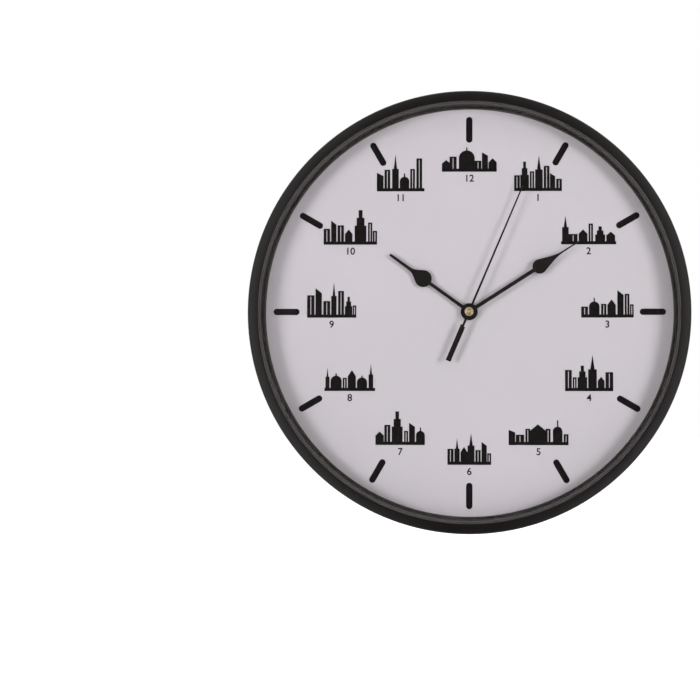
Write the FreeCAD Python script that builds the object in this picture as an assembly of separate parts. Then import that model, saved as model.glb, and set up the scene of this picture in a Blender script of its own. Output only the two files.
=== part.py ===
import FreeCAD, Part
import math
import os

# A round wall clock, 300 mm across, seen from the front with +X to the right and +Z up.
# The dial faces -Y. The origin is on the hands' axis, in the plane of the wall that the back rests on.
# All lengths are in millimetres and all angles in degrees.

# Running clearances and cuts
OVERRUN = 1.0          # how far a cutter runs past what it cuts
RUN_GAP = 0.04         # radial clearance of a shaft in its bearing
PRINT_THICK = 0.08     # ink on the dial
NEAR = 0.05            # two places closer than this count as one

# Frame, glass and spacer ring
OUTER_RADIUS = 150.0
BAND_WIDTH = 7.2       # front band
BAND_FLAT = 1.0        # flat strip along its inner edge
BAND_CROWN = 0.8       # how far the rest falls off to its outer edge
BAND_ROUND = 1.2       # outer front edge of the band
BAND_INNER_ROUND = 0.4
BEVEL_WIDTH = 2.4      # from the band to the opening seen from the front
BEVEL_FIRST_DROP = 1.9
BEVEL_FIRST_WIDTH = 0.7
BEVEL_LEDGE = 0.6
SIGHT_EDGE = 0.5       # upright edge of the bevel next to the glass
FRAME_BACK_ROUND = 0.5
FRAME_LIP = 1.4        # rim round the rear cover
GLASS_RECESS = 4.0     # front of the frame to the glass
GLASS_THICK = 2.0
FIT_GAP = 0.3          # clearance round the glass, the spacer ring and the dial
SPACER_WALL = 1.6
SPACER_FOOT = 1.6
HAND_ROOM = 11.0       # glass to dial

# Dial
DIAL_SHEET_THICK = 0.4
DIAL_BOARD_THICK = 1.1
HOURS = 12
MARK_MARGIN = 5.2      # outer end of a mark to the opening of the frame
MARK_LENGTH = 18.0
MARK_WIDTH = 4.4

# Printed skylines, one inside every hour mark, counted clockwise from twelve
SKYLINE_SIDE_GAP = 1.7    # side of the widest one to the ring of marks
SKYLINE_END_MARGIN = 16.2
SKYLINE_DROP = 4.0     # how far the bases lie below the ring of hours
SKYLINE_WIDTHS = (38.0, 33.0, 38.0, 36.0, 33.0, 41.0, 30.0, 34.0, 35.0, 34.0, 37.0, 33.0)
SKYLINE_HEIGHTS = (17.0, 25.0, 20.0, 19.0, 25.0, 17.0, 22.0, 23.0, 19.0, 25.0, 24.0, 26.0)
SKYLINE_GROUND = 2.2   # height of the solid strip under the buildings
SKYLINE_SLIT_WIDTH = 0.5
SKYLINE_SLIT_HEADROOM = 1.0
NEEDLE_WIDTH = 0.9

# The buildings of each skyline: roof, left side, right side and top, as shares of its width and height
SKYLINES_SHARES = (
    (("gable", 0.00, 0.16, 0.48), ("flat", 0.14, 0.27, 0.62), ("dome", 0.31, 0.60, 1.00),
     ("flat", 0.60, 0.72, 0.45), ("slant", 0.73, 0.84, 0.80), ("gable", 0.85, 1.00, 0.55)),
    (("flat", 0.00, 0.12, 0.44), ("steps", 0.13, 0.31, 0.82), ("flat", 0.33, 0.42, 0.55),
     ("spire", 0.44, 0.60, 1.00), ("flat", 0.62, 0.74, 0.70), ("slant", 0.75, 0.86, 0.50),
     ("flat", 0.88, 1.00, 0.34)),
    (("spire", 0.02, 0.14, 1.00), ("flat", 0.14, 0.30, 0.36), ("gable", 0.32, 0.48, 0.52),
     ("flat", 0.50, 0.58, 0.72), ("steps", 0.62, 0.80, 0.62), ("gable", 0.82, 0.98, 0.44)),
    (("flat", 0.00, 0.13, 0.40), ("dome", 0.15, 0.35, 0.72), ("flat", 0.38, 0.48, 0.50),
     ("gable", 0.50, 0.66, 0.66), ("slant", 0.69, 0.81, 1.00), ("flat", 0.83, 0.92, 0.86),
     ("flat", 0.93, 1.00, 0.48)),
    (("flat", 0.00, 0.14, 0.58), ("flat", 0.16, 0.24, 0.38), ("steps", 0.26, 0.46, 0.70),
     ("spire", 0.48, 0.66, 1.00), ("gable", 0.68, 0.82, 0.40), ("flat", 0.84, 1.00, 0.52)),
    (("slant", 0.00, 0.11, 0.62), ("flat", 0.12, 0.26, 0.42), ("flat", 0.28, 0.36, 0.66),
     ("gable", 0.36, 0.62, 0.84), ("flat", 0.62, 0.70, 0.66), ("dome", 0.74, 0.90, 1.00),
     ("flat", 0.92, 1.00, 0.44)),
    (("flat", 0.00, 0.14, 0.50), ("spire", 0.16, 0.28, 0.84), ("gable", 0.30, 0.46, 0.56),
     ("spire", 0.46, 0.62, 1.00), ("flat", 0.64, 0.76, 0.46), ("slant", 0.78, 0.90, 0.72),
     ("flat", 0.91, 1.00, 0.36)),
    (("gable", 0.00, 0.17, 0.40), ("flat", 0.18, 0.30, 0.60), ("steps", 0.33, 0.55, 1.00),
     ("flat", 0.58, 0.66, 0.42), ("slant", 0.68, 0.80, 0.66), ("dome", 0.82, 1.00, 0.52)),
    (("spire", 0.02, 0.10, 0.86), ("dome", 0.12, 0.34, 0.64), ("flat", 0.36, 0.44, 0.48),
     ("gable", 0.46, 0.62, 0.76), ("dome", 0.64, 0.84, 0.56), ("spire", 0.87, 0.96, 1.00)),
    (("flat", 0.00, 0.15, 0.62), ("slant", 0.17, 0.30, 0.82), ("flat", 0.33, 0.47, 0.46),
     ("spire", 0.49, 0.60, 1.00), ("flat", 0.63, 0.75, 0.74), ("steps", 0.77, 0.92, 0.58),
     ("flat", 0.93, 1.00, 0.34)),
    (("flat", 0.00, 0.12, 0.46), ("slant", 0.14, 0.24, 0.70), ("flat", 0.26, 0.38, 0.56),
     ("gable", 0.40, 0.54, 0.44), ("steps", 0.58, 0.80, 1.00), ("flat", 0.83, 0.91, 0.64),
     ("flat", 0.92, 1.00, 0.40)),
    (("slant", 0.00, 0.14, 0.50), ("flat", 0.16, 0.28, 0.58), ("spire", 0.32, 0.46, 1.00),
     ("dome", 0.48, 0.68, 0.48), ("flat", 0.70, 0.80, 0.60), ("flat", 0.83, 0.95, 0.88)),
)
# Where the walls end and the roof begins, as a share of the building's height
EAVES_SHARES = {"flat": 1.0, "gable": 0.70, "slant": 0.82, "steps": 0.55, "spire": 0.60, "dome": 0.55}
STEPPED_ROOF_SHARES = (2 / 3, 1 / 3)

# Rear cover
COVER_FLANGE = 1.5
COVER_RECESS = 1.0     # rim of the frame behind the cover
COVER_WALL = 2.0
BOSS_RADIUS = 95.5
BOSS_ROUND = 1.5
BOSS_FOOT_ROUND = 1.0
PIT_RADIUS = 3.0
PIT_DEPTH = 0.8
PIT_MARGIN = 18.6      # a pit's centre to the edge of the boss
SIDE_HOLE_RADIUS = 2.25
SIDE_HOLE_MARGIN = 29.9 # a side hole's centre to the edge of the boss

# Keyhole pocket in the rear cover
KEY_PLACE_SHARE = 0.51 # its middle, between the window's skirt and the boss's wall
KEY_ENTRY_RADIUS = 10.7
KEY_SLOT_WIDTH = 7.3
KEY_TRAVEL = 10.75     # centre of the entry to the centre of the slot's round end
KEY_HEAD_RADIUS = 7.0  # room beside the slot for the hanging screw's head
KEY_DEPTH = 8.0
KEY_WALL = 1.6

# Window for the movement, its skirt and the two snap tongues
WINDOW_SIDE_GAP = 2.4  # movement to the window
WINDOW_END_GAP = 3.0
WINDOW_ROUND = 6.0
NOTCH_DEPTH = 3.0
NOTCH_SIDE_GAP = 1.15  # tongue to the side of its notch
SKIRT_WALL = 1.6
TONGUE_WIDTH = 22.7
TONGUE_THICK = 2.2
TONGUE_GAP = 0.4
TONGUE_ROOT = 2.0      # length of the bridge that joins a tongue to the skirt
TONGUE_SETBACK = 1.2   # end of a tongue behind the wall plane
NOSE_WIDTH = 14.0
NOSE_REACH = 1.1       # how far a nose laps over the movement
NOSE_TIP_THICK = 0.7
NOSE_GAP = 0.05

# Screws of the rear cover
COVER_SCREWS = 8
COVER_SCREW_FIRST_ANGLE = 22.5
COVER_SCREW_RADIUS = 0.8
COVER_SCREW_WALL = 0.6 # frame between a screw and the bore
COVER_SCREW_HEAD_RADIUS = 1.4
COVER_SCREW_HEAD_HEIGHT = 0.9
COVER_SCREW_LENGTH = 6.0
SCREW_HOLE_GAP = 0.1
SCREW_SLOT_WIDTH = 0.45
SCREW_SLOT_DEPTH = 0.45

# Movement case
WALL_CLEARANCE = 3.5   # movement to the wall that the clock hangs on
CASE_WALL = 1.2
CASE_FLOOR = 1.2
CASE_CHAMFER = 5.0
CHAMFER_INSET_SHARE = 2 - math.sqrt(2) # how much a cut corner shrinks as the outline moves in
COVER_THICK = 1.2      # smoked cover
COVER_BEVEL_WIDTH = 2.4
COVER_BEVEL_DEPTH = 0.9
CASE_SIDE_GAP = 0.6    # setting gear to the case
BAY_GAP = 0.6          # lowest wheel to the wall above the battery
STEM_WALL = 1.36
STEM_RISE = 2.4        # stem in front of the dial
STEM_GAP = 0.15
THREAD_PITCH = 0.75
THREAD_DEPTH = 0.3
POST_RADIUS = 1.2
PEG_RADIUS = 0.6
PEG_RISE = 0.5
PIVOT_DEPTH = 0.8
PIVOT_RADIUS = 0.35
CUP_RADIUS = 1.3       # bearing cups inside the smoked cover
CUP_CLEARANCE = 1.2    # rotor pinion to the cups

# Gear teeth, as shares of the pitch at the root, pitch and tip circles, and of the module
WHEEL_TOOTH_SHARES = (0.52, 0.42, 0.20)
PINION_TOOTH_SHARES = (0.40, 0.40, 0.20)
ADDENDUM_SHARE = 0.9
DEDENDUM_SHARE = 1.2

# Going train: teeth, modules, and the gaps between its layers, counted away from the floor of the case
WHEEL_THICK = 0.8
ARBOR_RADIUS = 0.5
ROTOR_MODULE = 0.25
ROTOR_TEETH = 8
INTERMEDIATE_TEETH = 48
INTERMEDIATE_ANGLE = 155.0
INTERMEDIATE_GAP = 1.0
SECONDS_MODULE = 0.3
INTERMEDIATE_PINION_TEETH = 8
PINION_MARGIN = 0.2    # how far a pinion reaches past the wheel that it meets
SECONDS_TEETH = 40
SECONDS_GAP = 1.1
SECONDS_PINION_TEETH = 8
THIRD_MODULE = 0.28
THIRD_TEETH = 60
THIRD_ANGLE = 35.0
THIRD_GAP = 0.7
THIRD_PINION_TEETH = 8
CENTRE_TEETH = 64
CENTRE_GAP = 0.7
ROTOR_ANGLE = 245.0
ROTOR_PINION_MARGIN = 0.4
MAGNET_RADIUS = 2.9
MAGNET_GAP = 0.3
MAGNET_THICK = 2.1
ROTOR_ARBOR_RADIUS = 0.6

# Motion work and setting gear
MOTION_MODULE = 0.25
CANNON_TEETH = 16
MOTION_TEETH = 48
MOTION_GAP = 0.4
MOTION_THICK = 0.9
MOTION_ANGLE = -15.0
MOTION_PINION_TEETH = 10
HOUR_TEETH = 40
HOUR_LIFT = 0.3
HOUR_WHEEL_THICK = 0.9
SETTING_TEETH = 40
SETTING_ANGLE = 5.0
SETTING_ARBOR_RADIUS = 1.0
KNOB_RADIUS = 5.2
KNOB_THICK = 2.2
KNOB_GAP = 0.3
KNOB_FLUTES = 24
KNOB_FLUTE_RADIUS = 0.45
KNOB_DISH_RADIUS = 3.6
KNOB_DISH_DEPTH = 0.5
MINUTE_PIPE_WALL = 1.06
HOUR_PIPE_WALL = 0.86
CLUTCH_WALL = 0.66     # neck of the minute pipe inside the centre wheel
CLUTCH_HUB_RADIUS = 2.3
CLUTCH_HUB_HEIGHT = 1.1

# Middle plate and its posts
PLATE_GAP = 0.6        # centre wheel to the plate
PLATE_THICK = 1.0
PLATE_LEFT_MARGIN = 1.9
PLATE_RIGHT_MARGIN = 1.85
PLATE_BOTTOM_GAP = 0.1
PLATE_TOP_MARGIN = 8.14
PLATE_ROUND = 1.5
PLATE_POST_INSET = 1.6
PLATE_MAGNET_GAP = 0.7
PINION_HOLE_GAP = 0.4

# Stepping motor
STATOR_RISE = 0.5      # stator behind the magnet's front face
STATOR_THICK = 1.0
STATOR_EYE_RADIUS = 4.4
STATOR_BORE_GAP = 0.4
STATOR_ARM_WIDTH = 3.4
STATOR_ARM_OFFSET = 0.9
STATOR_BAR_WIDTH = 3.4
STATOR_TOP_GAP = 5.2
STATOR_BOTTOM_GAP = 1.3
COIL_GAP = 1.25        # intermediate wheel to the bobbin
CORE_WIDTH = 2.4
CORE_THICK = 1.0
BOBBIN_TUBE_RADIUS = 1.9
BOBBIN_CORE_GAP = 0.05
BOBBIN_FLANGE = 0.8
BOBBIN_HALF_WIDTH = 3.5
BOBBIN_LOW_GAP = 1.0
BOBBIN_HIGH_GAP = 0.5
WINDING_RADIUS = 3.2
STATOR_SCREW_RADIUS = 0.7
STATOR_SCREW_HEAD_RADIUS = 1.5
STATOR_SCREW_HEAD_HEIGHT = 0.8
STATOR_SCREW_LENGTH = 5.0
STATOR_POST_RADIUS = 1.6

# Electronics
BOARD_LIFT = 2.0
BOARD_THICK = 1.0
BOARD_COIL_GAP = 0.5
BOARD_SIDE_GAP = 4.3
BOARD_PLATE_GAP = 1.0
BOARD_TOP_GAP = 0.8
BOARD_PEG_LEFT_INSET = 4.0
BOARD_PEG_RIGHT_INSET = 5.5
BOARD_PEG_TOP_INSET = 2.0
BLOB_RADIUS = 3.0
BLOB_HEIGHT = 1.0
BLOB_ROUND = 0.7
BLOB_INSET_X = 11.5    # from the board's lower corner at -X
BLOB_INSET_Z = 5.4
CRYSTAL_RADIUS = 1.45
CRYSTAL_LENGTH = 8.0
CRYSTAL_BLOB_GAP = 1.6
CRYSTAL_INSET_Z = 3.4
CRYSTAL_LEAD_RADIUS = 0.2
CRYSTAL_FOOT_RADIUS = 0.3
CRYSTAL_LEAD_LENGTH = 2.4
CRYSTAL_LEAD_SPREAD = 0.5

# Battery and contacts
CELL_RADIUS = 7.25
CELL_LENGTH = 50.5
CELL_NUB_RADIUS = 2.75
CELL_NUB_LENGTH = 1.3
CELL_GAP = 0.2
CELL_BACK_GAP = 0.1
CELL_TOP_GAP = 0.65
CELL_BOTTOM_GAP = 1.15
CELL_ROUND = 0.6
CELL_END_RADIUS = 5.2
CELL_END_RISE = 0.3
CONTACT_THICK = 0.4
CONTACT_WIDTH = 8.0
CONTACT_GAP = 0.05
CONTACT_TOP_GAP = 2.0
SPRING_ROOM = 2.2
SPRING_DROP = 4.5      # bend of the sprung strip below its top
SPRING_ROOT = 0.8      # where the sprung strip joins the upright one
TAIL_WIDTH = 2.0
TAIL_SLOT_GAP = 0.2
TAIL_TAB_INSET = 0.6   # above the lower edge of the circuit board
TAIL_LAP = 1.4         # solder lap on the circuit board

# Hands, with the gaps between them and their directions clockwise from twelve
HAND_THICK = 0.4
HOUR_HAND_GAP = 0.4    # stem to the hour hand
HOUR_HAND_LENGTH = 67.5
HOUR_HAND_ANGLE = 305.8
HOUR_DISC_RADIUS = 5.85
HOUR_COLLAR_RADIUS = 3.4
HOUR_COLLAR_HEIGHT = 1.3
HOUR_ARM_WIDTH = 2.3
HOUR_LEAF_PLACE = 39.0
HOUR_LEAF_RADIUS = 5.9
HOUR_SHOULDER_ANGLE = 35.0
HOUR_TAPER_LENGTH = 15.5
HOUR_NECK_WIDTH = 2.2
HOUR_TIP_WIDTH = 1.8
MINUTE_HAND_GAP = 0.4
MINUTE_HAND_LENGTH = 91.0
MINUTE_HAND_ANGLE = 57.4
MINUTE_DISC_RADIUS = 4.0
MINUTE_COLLAR_RADIUS = 2.7
MINUTE_COLLAR_HEIGHT = 1.0
MINUTE_ARM_WIDTH = 2.6
MINUTE_LEAF_PLACE = 57.4
MINUTE_LEAF_RADIUS = 5.0
MINUTE_SHOULDER_ANGLE = 18.0
MINUTE_TAPER_LENGTH = 21.0
MINUTE_NECK_WIDTH = 1.1
MINUTE_TIP_WIDTH = 0.8
LEAF_START_SHARE = 0.45
LEAF_END_SHARE = 0.40
SECOND_HAND_GAP = 0.6
SECOND_HAND_THICK = 0.3
SECOND_HAND_LENGTH = 94.0
SECOND_HAND_ANGLE = 23.1
SECOND_ARM_WIDTH = 1.6
SECOND_TIP_WIDTH = 0.95
SECOND_TAIL_NECK = 10.0
SECOND_TAIL_LENGTH = 36.6
SECOND_TAIL_WIDTH = 3.6
SECOND_TAIL_STEP = 0.9
SECOND_DISC_RADIUS = 2.4
SECOND_CAP_RADIUS = 3.05
SECOND_CAP_HEIGHT = 1.4
SECOND_CAP_CROWN = 0.5 # how far its front falls off to the rim
SECOND_CAP_ROUND = 0.6
SECOND_CAP_DIMPLE_RADIUS = 0.9
SECOND_CAP_DIMPLE_DEPTH = 0.6
SECOND_ARBOR_TIP = 0.4 # arbor in front of the second hand


# Shapes that several pieces share
def point(x, y, z):
    return FreeCAD.Vector(x, y, z)


AXIS = point(0, 1, 0)


def rod(radius, y_start, y_end, x=0, z=0):
    """A cylinder along Y."""
    return Part.makeCylinder(radius, y_end - y_start, point(x, y_start, z), AXIS)


def tube(outer, inner, y_start, y_end, x=0, z=0):
    """A hollow cylinder along Y."""
    hollow = rod(inner, y_start - OVERRUN, y_end + OVERRUN, x, z)
    return rod(outer, y_start, y_end, x, z).cut(hollow)


def block(x_start, x_end, y_start, y_end, z_start, z_end):
    return Part.makeBox(x_end - x_start, y_end - y_start, z_end - z_start, point(x_start, y_start, z_start))


def joined(shapes):
    """One body made of several that touch or overlap."""
    return shapes[0].multiFuse(shapes[1:]).removeSplitter()


def turned(outline):
    """A body of revolution about the Y axis from (radius, y) points."""
    points = [point(radius, y, 0) for radius, y in outline]
    face = Part.Face(Part.makePolygon(points + points[:1]))
    return face.revolve(point(0, 0, 0), AXIS, 360)


def crowned(outline):
    """A turned body whose second point is joined to its first by an arc that starts flat and falls off."""
    points = [point(radius, y, 0) for radius, y in outline]
    rim, start = points[:2]
    width, drop = rim.x - start.x, rim.y - start.y
    arc_radius = (width ** 2 + drop ** 2) / (2 * drop)
    half_drop = arc_radius - math.sqrt(arc_radius ** 2 - (width / 2) ** 2)
    arc = Part.Arc(rim, point(start.x + width / 2, start.y + half_drop, 0), start).toShape()
    wire = Part.Wire([arc] + Part.makePolygon(points[1:] + points[:1]).Edges)
    return Part.Face(wire).revolve(point(0, 0, 0), AXIS, 360)


def plate(outline, y_start, y_end):
    """A flat body from (x, z) points."""
    points = [point(x, y_start, z) for x, z in outline]
    face = Part.Face(Part.makePolygon(points + points[:1]))
    return face.extrude(point(0, y_end - y_start, 0))


def rounded_block(half_x, half_z, corner, y_start, y_end):
    """A block about the Y axis with four rounded corners."""
    body = block(-half_x, half_x, y_start, y_end, -half_z, half_z)
    return body.makeFillet(corner, [edge for edge in body.Edges if edge_runs_along_y(edge)])


def edge_runs_along_y(edge):
    start, end = edge.Vertexes[0].Point, edge.Vertexes[-1].Point
    return edge.Curve.TypeId == "Part::GeomLine" and edge.Length - abs(start.y - end.y) < NEAR


def rim_edges(shape, radius, y):
    """The round edges about the Y axis with this radius in this plane."""
    found = []
    for edge in shape.Edges:
        if edge.Curve.TypeId != "Part::GeomCircle":
            continue
        centre = edge.Curve.Center
        on_axis = math.hypot(centre.x, centre.z) < NEAR
        if on_axis and abs(edge.Curve.Radius - radius) < NEAR and abs(centre.y - y) < NEAR:
            found.append(edge)
    return found


def polar(distance, degrees):
    """The place (x, z) at a distance and angle, counted from +X towards +Z."""
    angle = math.radians(degrees)
    return distance * math.cos(angle), distance * math.sin(angle)


def clock_place(distance, degrees):
    """The place (x, z) at a distance and an angle clockwise from twelve."""
    return polar(distance, 90 - degrees)


def clockwise(shape, degrees):
    """Turns a shape about the Y axis, clockwise as seen from the front."""
    turned_shape = shape.copy()
    turned_shape.rotate(point(0, 0, 0), AXIS, degrees)
    return turned_shape


def pitch_radius(teeth, module):
    return teeth * module / 2


def tip_radius(teeth, module):
    return pitch_radius(teeth, module) + ADDENDUM_SHARE * module


def reach(start, distance, degrees):
    x, z = polar(distance, degrees)
    return start[0] + x, start[1] + z


def meshed_phase(phase, teeth, direction, other_teeth):
    """The phase of a gear that lies in this direction from the first one and is in mesh with it."""
    offset = teeth * (direction - phase) / 360
    return direction + 180 - 180 / other_teeth + 360 * offset / other_teeth


# Radii at the rim, from the outside inwards
COVER_RADIUS = OUTER_RADIUS - FRAME_LIP - FIT_GAP
COVER_SCREW_CIRCLE = COVER_RADIUS - COVER_SCREW_HEAD_RADIUS
FRAME_BORE_RADIUS = COVER_SCREW_CIRCLE - COVER_SCREW_RADIUS - COVER_SCREW_WALL
GLASS_RADIUS = FRAME_BORE_RADIUS - FIT_GAP
SIGHT_RADIUS = OUTER_RADIUS - BAND_WIDTH - BEVEL_WIDTH
MARK_OUTER_RADIUS = SIGHT_RADIUS - MARK_MARGIN
MARK_INNER_RADIUS = MARK_OUTER_RADIUS - MARK_LENGTH
SKYLINE_REACH_X = MARK_INNER_RADIUS - SKYLINE_SIDE_GAP - max(SKYLINE_WIDTHS) / 2
SKYLINE_REACH_Z = MARK_INNER_RADIUS - SKYLINE_END_MARGIN

# Radii at the hands' axis, from the inside outwards
MINUTE_BORE_RADIUS = ARBOR_RADIUS + RUN_GAP
CLUTCH_RADIUS = MINUTE_BORE_RADIUS + CLUTCH_WALL
MINUTE_PIPE_RADIUS = MINUTE_BORE_RADIUS + MINUTE_PIPE_WALL
HOUR_PIPE_RADIUS = MINUTE_PIPE_RADIUS + RUN_GAP + HOUR_PIPE_WALL
STEM_RADIUS = HOUR_PIPE_RADIUS + RUN_GAP + STEM_WALL

# Heights of the hands' back faces above the dial
HOUR_HAND_RISE = STEM_RISE + HOUR_HAND_GAP
MINUTE_HAND_RISE = HOUR_HAND_RISE + HAND_THICK + HOUR_COLLAR_HEIGHT + MINUTE_HAND_GAP
SECOND_HAND_RISE = MINUTE_HAND_RISE + HAND_THICK + MINUTE_COLLAR_HEIGHT + SECOND_HAND_GAP
SECOND_ARBOR_RISE = SECOND_HAND_RISE + SECOND_HAND_THICK + SECOND_ARBOR_TIP

# Places along Y: the cell sets the movement's depth, and the wall plane is at zero
MOVEMENT_DEPTH = CASE_FLOOR + CELL_GAP + 2 * CELL_RADIUS + CELL_BACK_GAP
CASE_BACK_Y = -WALL_CLEARANCE
BOARD_BACK_Y = CASE_BACK_Y - MOVEMENT_DEPTH
BOARD_FRONT_Y = BOARD_BACK_Y - DIAL_BOARD_THICK
DIAL_Y = BOARD_FRONT_Y - DIAL_SHEET_THICK
GLASS_BACK_Y = DIAL_Y - HAND_ROOM
GLASS_FRONT_Y = GLASS_BACK_Y - GLASS_THICK
FRONT_Y = GLASS_FRONT_Y - GLASS_RECESS
FLANGE_BACK_Y = BOARD_BACK_Y + COVER_FLANGE
FRAME_BACK_Y = FLANGE_BACK_Y + COVER_RECESS
FLOOR_Y = BOARD_BACK_Y + CASE_FLOOR
CEILING_Y = CASE_BACK_Y - COVER_THICK
CELL_Y = FLOOR_Y + CELL_GAP + CELL_RADIUS

# Heights of the train's layers above the floor of the case
MOTION_LIFT = HOUR_LIFT + HOUR_WHEEL_THICK + MOTION_GAP
CENTRE_LIFT = MOTION_LIFT + MOTION_THICK + CENTRE_GAP
PLATE_LIFT = CENTRE_LIFT + WHEEL_THICK + PLATE_GAP
THIRD_LIFT = PLATE_LIFT + PLATE_THICK + THIRD_GAP
SECONDS_LIFT = THIRD_LIFT + WHEEL_THICK + SECONDS_GAP
INTERMEDIATE_LIFT = SECONDS_LIFT + WHEEL_THICK + INTERMEDIATE_GAP
MAGNET_LIFT = PLATE_LIFT + PLATE_THICK + MAGNET_GAP
STATOR_LIFT = MAGNET_LIFT + STATOR_RISE
CORE_Y = FLOOR_Y + STATOR_LIFT + STATOR_THICK
BOARD_Y = FLOOR_Y + BOARD_LIFT + BOARD_THICK
PIVOT_TOP = FLOOR_Y + INTERMEDIATE_LIFT + WHEEL_THICK + ROTOR_PINION_MARGIN + CUP_CLEARANCE
REAR_PIVOT_END = CEILING_Y - RUN_GAP
FRONT_PIVOT_END = FLOOR_Y - PIVOT_DEPTH + RUN_GAP

# Places of the arbors (x, z), from the centre distances of the gears
CENTRE = (0, 0)
INTERMEDIATE_DISTANCE = pitch_radius(SECONDS_TEETH + INTERMEDIATE_PINION_TEETH, SECONDS_MODULE)
INTERMEDIATE_PLACE = reach(CENTRE, INTERMEDIATE_DISTANCE, INTERMEDIATE_ANGLE)
ROTOR_DISTANCE = pitch_radius(INTERMEDIATE_TEETH + ROTOR_TEETH, ROTOR_MODULE)
ROTOR_PLACE = reach(INTERMEDIATE_PLACE, ROTOR_DISTANCE, ROTOR_ANGLE)
THIRD_DISTANCE = pitch_radius(THIRD_TEETH + SECONDS_PINION_TEETH, THIRD_MODULE)
THIRD_PLACE = reach(CENTRE, THIRD_DISTANCE, THIRD_ANGLE)
CENTRE_MODULE = 2 * THIRD_DISTANCE / (CENTRE_TEETH + THIRD_PINION_TEETH)
MOTION_DISTANCE = pitch_radius(MOTION_TEETH + CANNON_TEETH, MOTION_MODULE)
MOTION_PLACE = reach(CENTRE, MOTION_DISTANCE, MOTION_ANGLE)
MOTION_PHASE = meshed_phase(0, CANNON_TEETH, MOTION_ANGLE, MOTION_TEETH)
HOUR_MODULE = 2 * MOTION_DISTANCE / (HOUR_TEETH + MOTION_PINION_TEETH)
SETTING_DISTANCE = pitch_radius(SETTING_TEETH + MOTION_TEETH, MOTION_MODULE)
SETTING_PLACE = reach(MOTION_PLACE, SETTING_DISTANCE, SETTING_ANGLE)

# Outline of the movement: its height follows the wheels and the cell below them, its width the longer of both
MOTION_TIP = tip_radius(MOTION_TEETH, MOTION_MODULE)
LOWEST_WHEEL = max(tip_radius(CENTRE_TEETH, CENTRE_MODULE), MOTION_TIP - MOTION_PLACE[1])
BAY_TOP = -LOWEST_WHEEL - BAY_GAP
CELL_HEIGHT = BAY_TOP - CASE_WALL - CELL_TOP_GAP - CELL_RADIUS
HALF_HEIGHT = CELL_RADIUS + CELL_BOTTOM_GAP + CASE_WALL - CELL_HEIGHT
CELL_HALF_ROOM = (CELL_LENGTH + SPRING_ROOM) / 2 + CONTACT_THICK + CONTACT_GAP
SETTING_HALF_ROOM = SETTING_PLACE[0] + tip_radius(SETTING_TEETH, MOTION_MODULE) + CASE_SIDE_GAP
BAY_END_X = max(CELL_HALF_ROOM, SETTING_HALF_ROOM)
HALF_WIDTH = BAY_END_X + CASE_WALL
CELL_START_X = -BAY_END_X + CONTACT_THICK + CONTACT_GAP
WINDOW_HALF_HEIGHT = HALF_HEIGHT + WINDOW_END_GAP

# The keyhole lies between the skirt of the window and the wall of the boss
SKIRT_TOP = WINDOW_HALF_HEIGHT + NOTCH_DEPTH + SKIRT_WALL
KEY_MIDDLE = SKIRT_TOP + KEY_PLACE_SHARE * (BOSS_RADIUS - COVER_WALL - SKIRT_TOP)
KEY_ENTRY_HEIGHT = KEY_MIDDLE + (KEY_ENTRY_RADIUS - KEY_HEAD_RADIUS - KEY_TRAVEL) / 2
KEY_SLOT_HEIGHT = KEY_ENTRY_HEIGHT + KEY_TRAVEL

# Middle plate, motor and circuit board inside that outline
PLATE_LEFT = INTERMEDIATE_PLACE[0] - PLATE_LEFT_MARGIN
PLATE_RIGHT = MOTION_PLACE[0] + MOTION_TIP + PLATE_RIGHT_MARGIN
PLATE_BOTTOM = BAY_TOP + PLATE_BOTTOM_GAP
PLATE_TOP = THIRD_PLACE[1] + PLATE_TOP_MARGIN
PLATE_POST_PLACES = (
    (PLATE_LEFT + PLATE_POST_INSET, PLATE_TOP - PLATE_POST_INSET),
    (PLATE_RIGHT - PLATE_POST_INSET, PLATE_TOP - PLATE_POST_INSET),
    (PLATE_RIGHT - PLATE_POST_INSET, PLATE_BOTTOM + PLATE_POST_INSET),
)
CORE_X = (
    INTERMEDIATE_PLACE[0] - tip_radius(INTERMEDIATE_TEETH, ROTOR_MODULE) - COIL_GAP - BOBBIN_HALF_WIDTH
)
STATOR_BAR_TOP = HALF_HEIGHT - STATOR_TOP_GAP
STATOR_BAR_BOTTOM = BAY_TOP + STATOR_BOTTOM_GAP
BOBBIN_LOW = STATOR_BAR_BOTTOM + STATOR_BAR_WIDTH + BOBBIN_LOW_GAP
BOBBIN_HIGH = STATOR_BAR_TOP - STATOR_BAR_WIDTH - BOBBIN_HIGH_GAP
BOARD_LEFT = CORE_X + BOBBIN_HALF_WIDTH + BOARD_COIL_GAP
BOARD_RIGHT = BAY_END_X - BOARD_SIDE_GAP
BOARD_BOTTOM = PLATE_TOP + BOARD_PLATE_GAP
BOARD_TOP = HALF_HEIGHT - CASE_WALL - BOARD_TOP_GAP
BOARD_PEG_PLACES = (
    (BOARD_LEFT + BOARD_PEG_LEFT_INSET, BOARD_TOP - BOARD_PEG_TOP_INSET),
    (BOARD_RIGHT - BOARD_PEG_RIGHT_INSET, BOARD_TOP - BOARD_PEG_TOP_INSET),
)
BLOB_PLACE = (BOARD_LEFT + BLOB_INSET_X, BOARD_BOTTOM + BLOB_INSET_Z)
CRYSTAL_X = BLOB_PLACE[0] + BLOB_RADIUS + CRYSTAL_BLOB_GAP + CRYSTAL_LEAD_LENGTH
CRYSTAL_Z = BOARD_BOTTOM + CRYSTAL_INSET_Z
TAIL_Y = BOARD_Y + CONTACT_GAP


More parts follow.
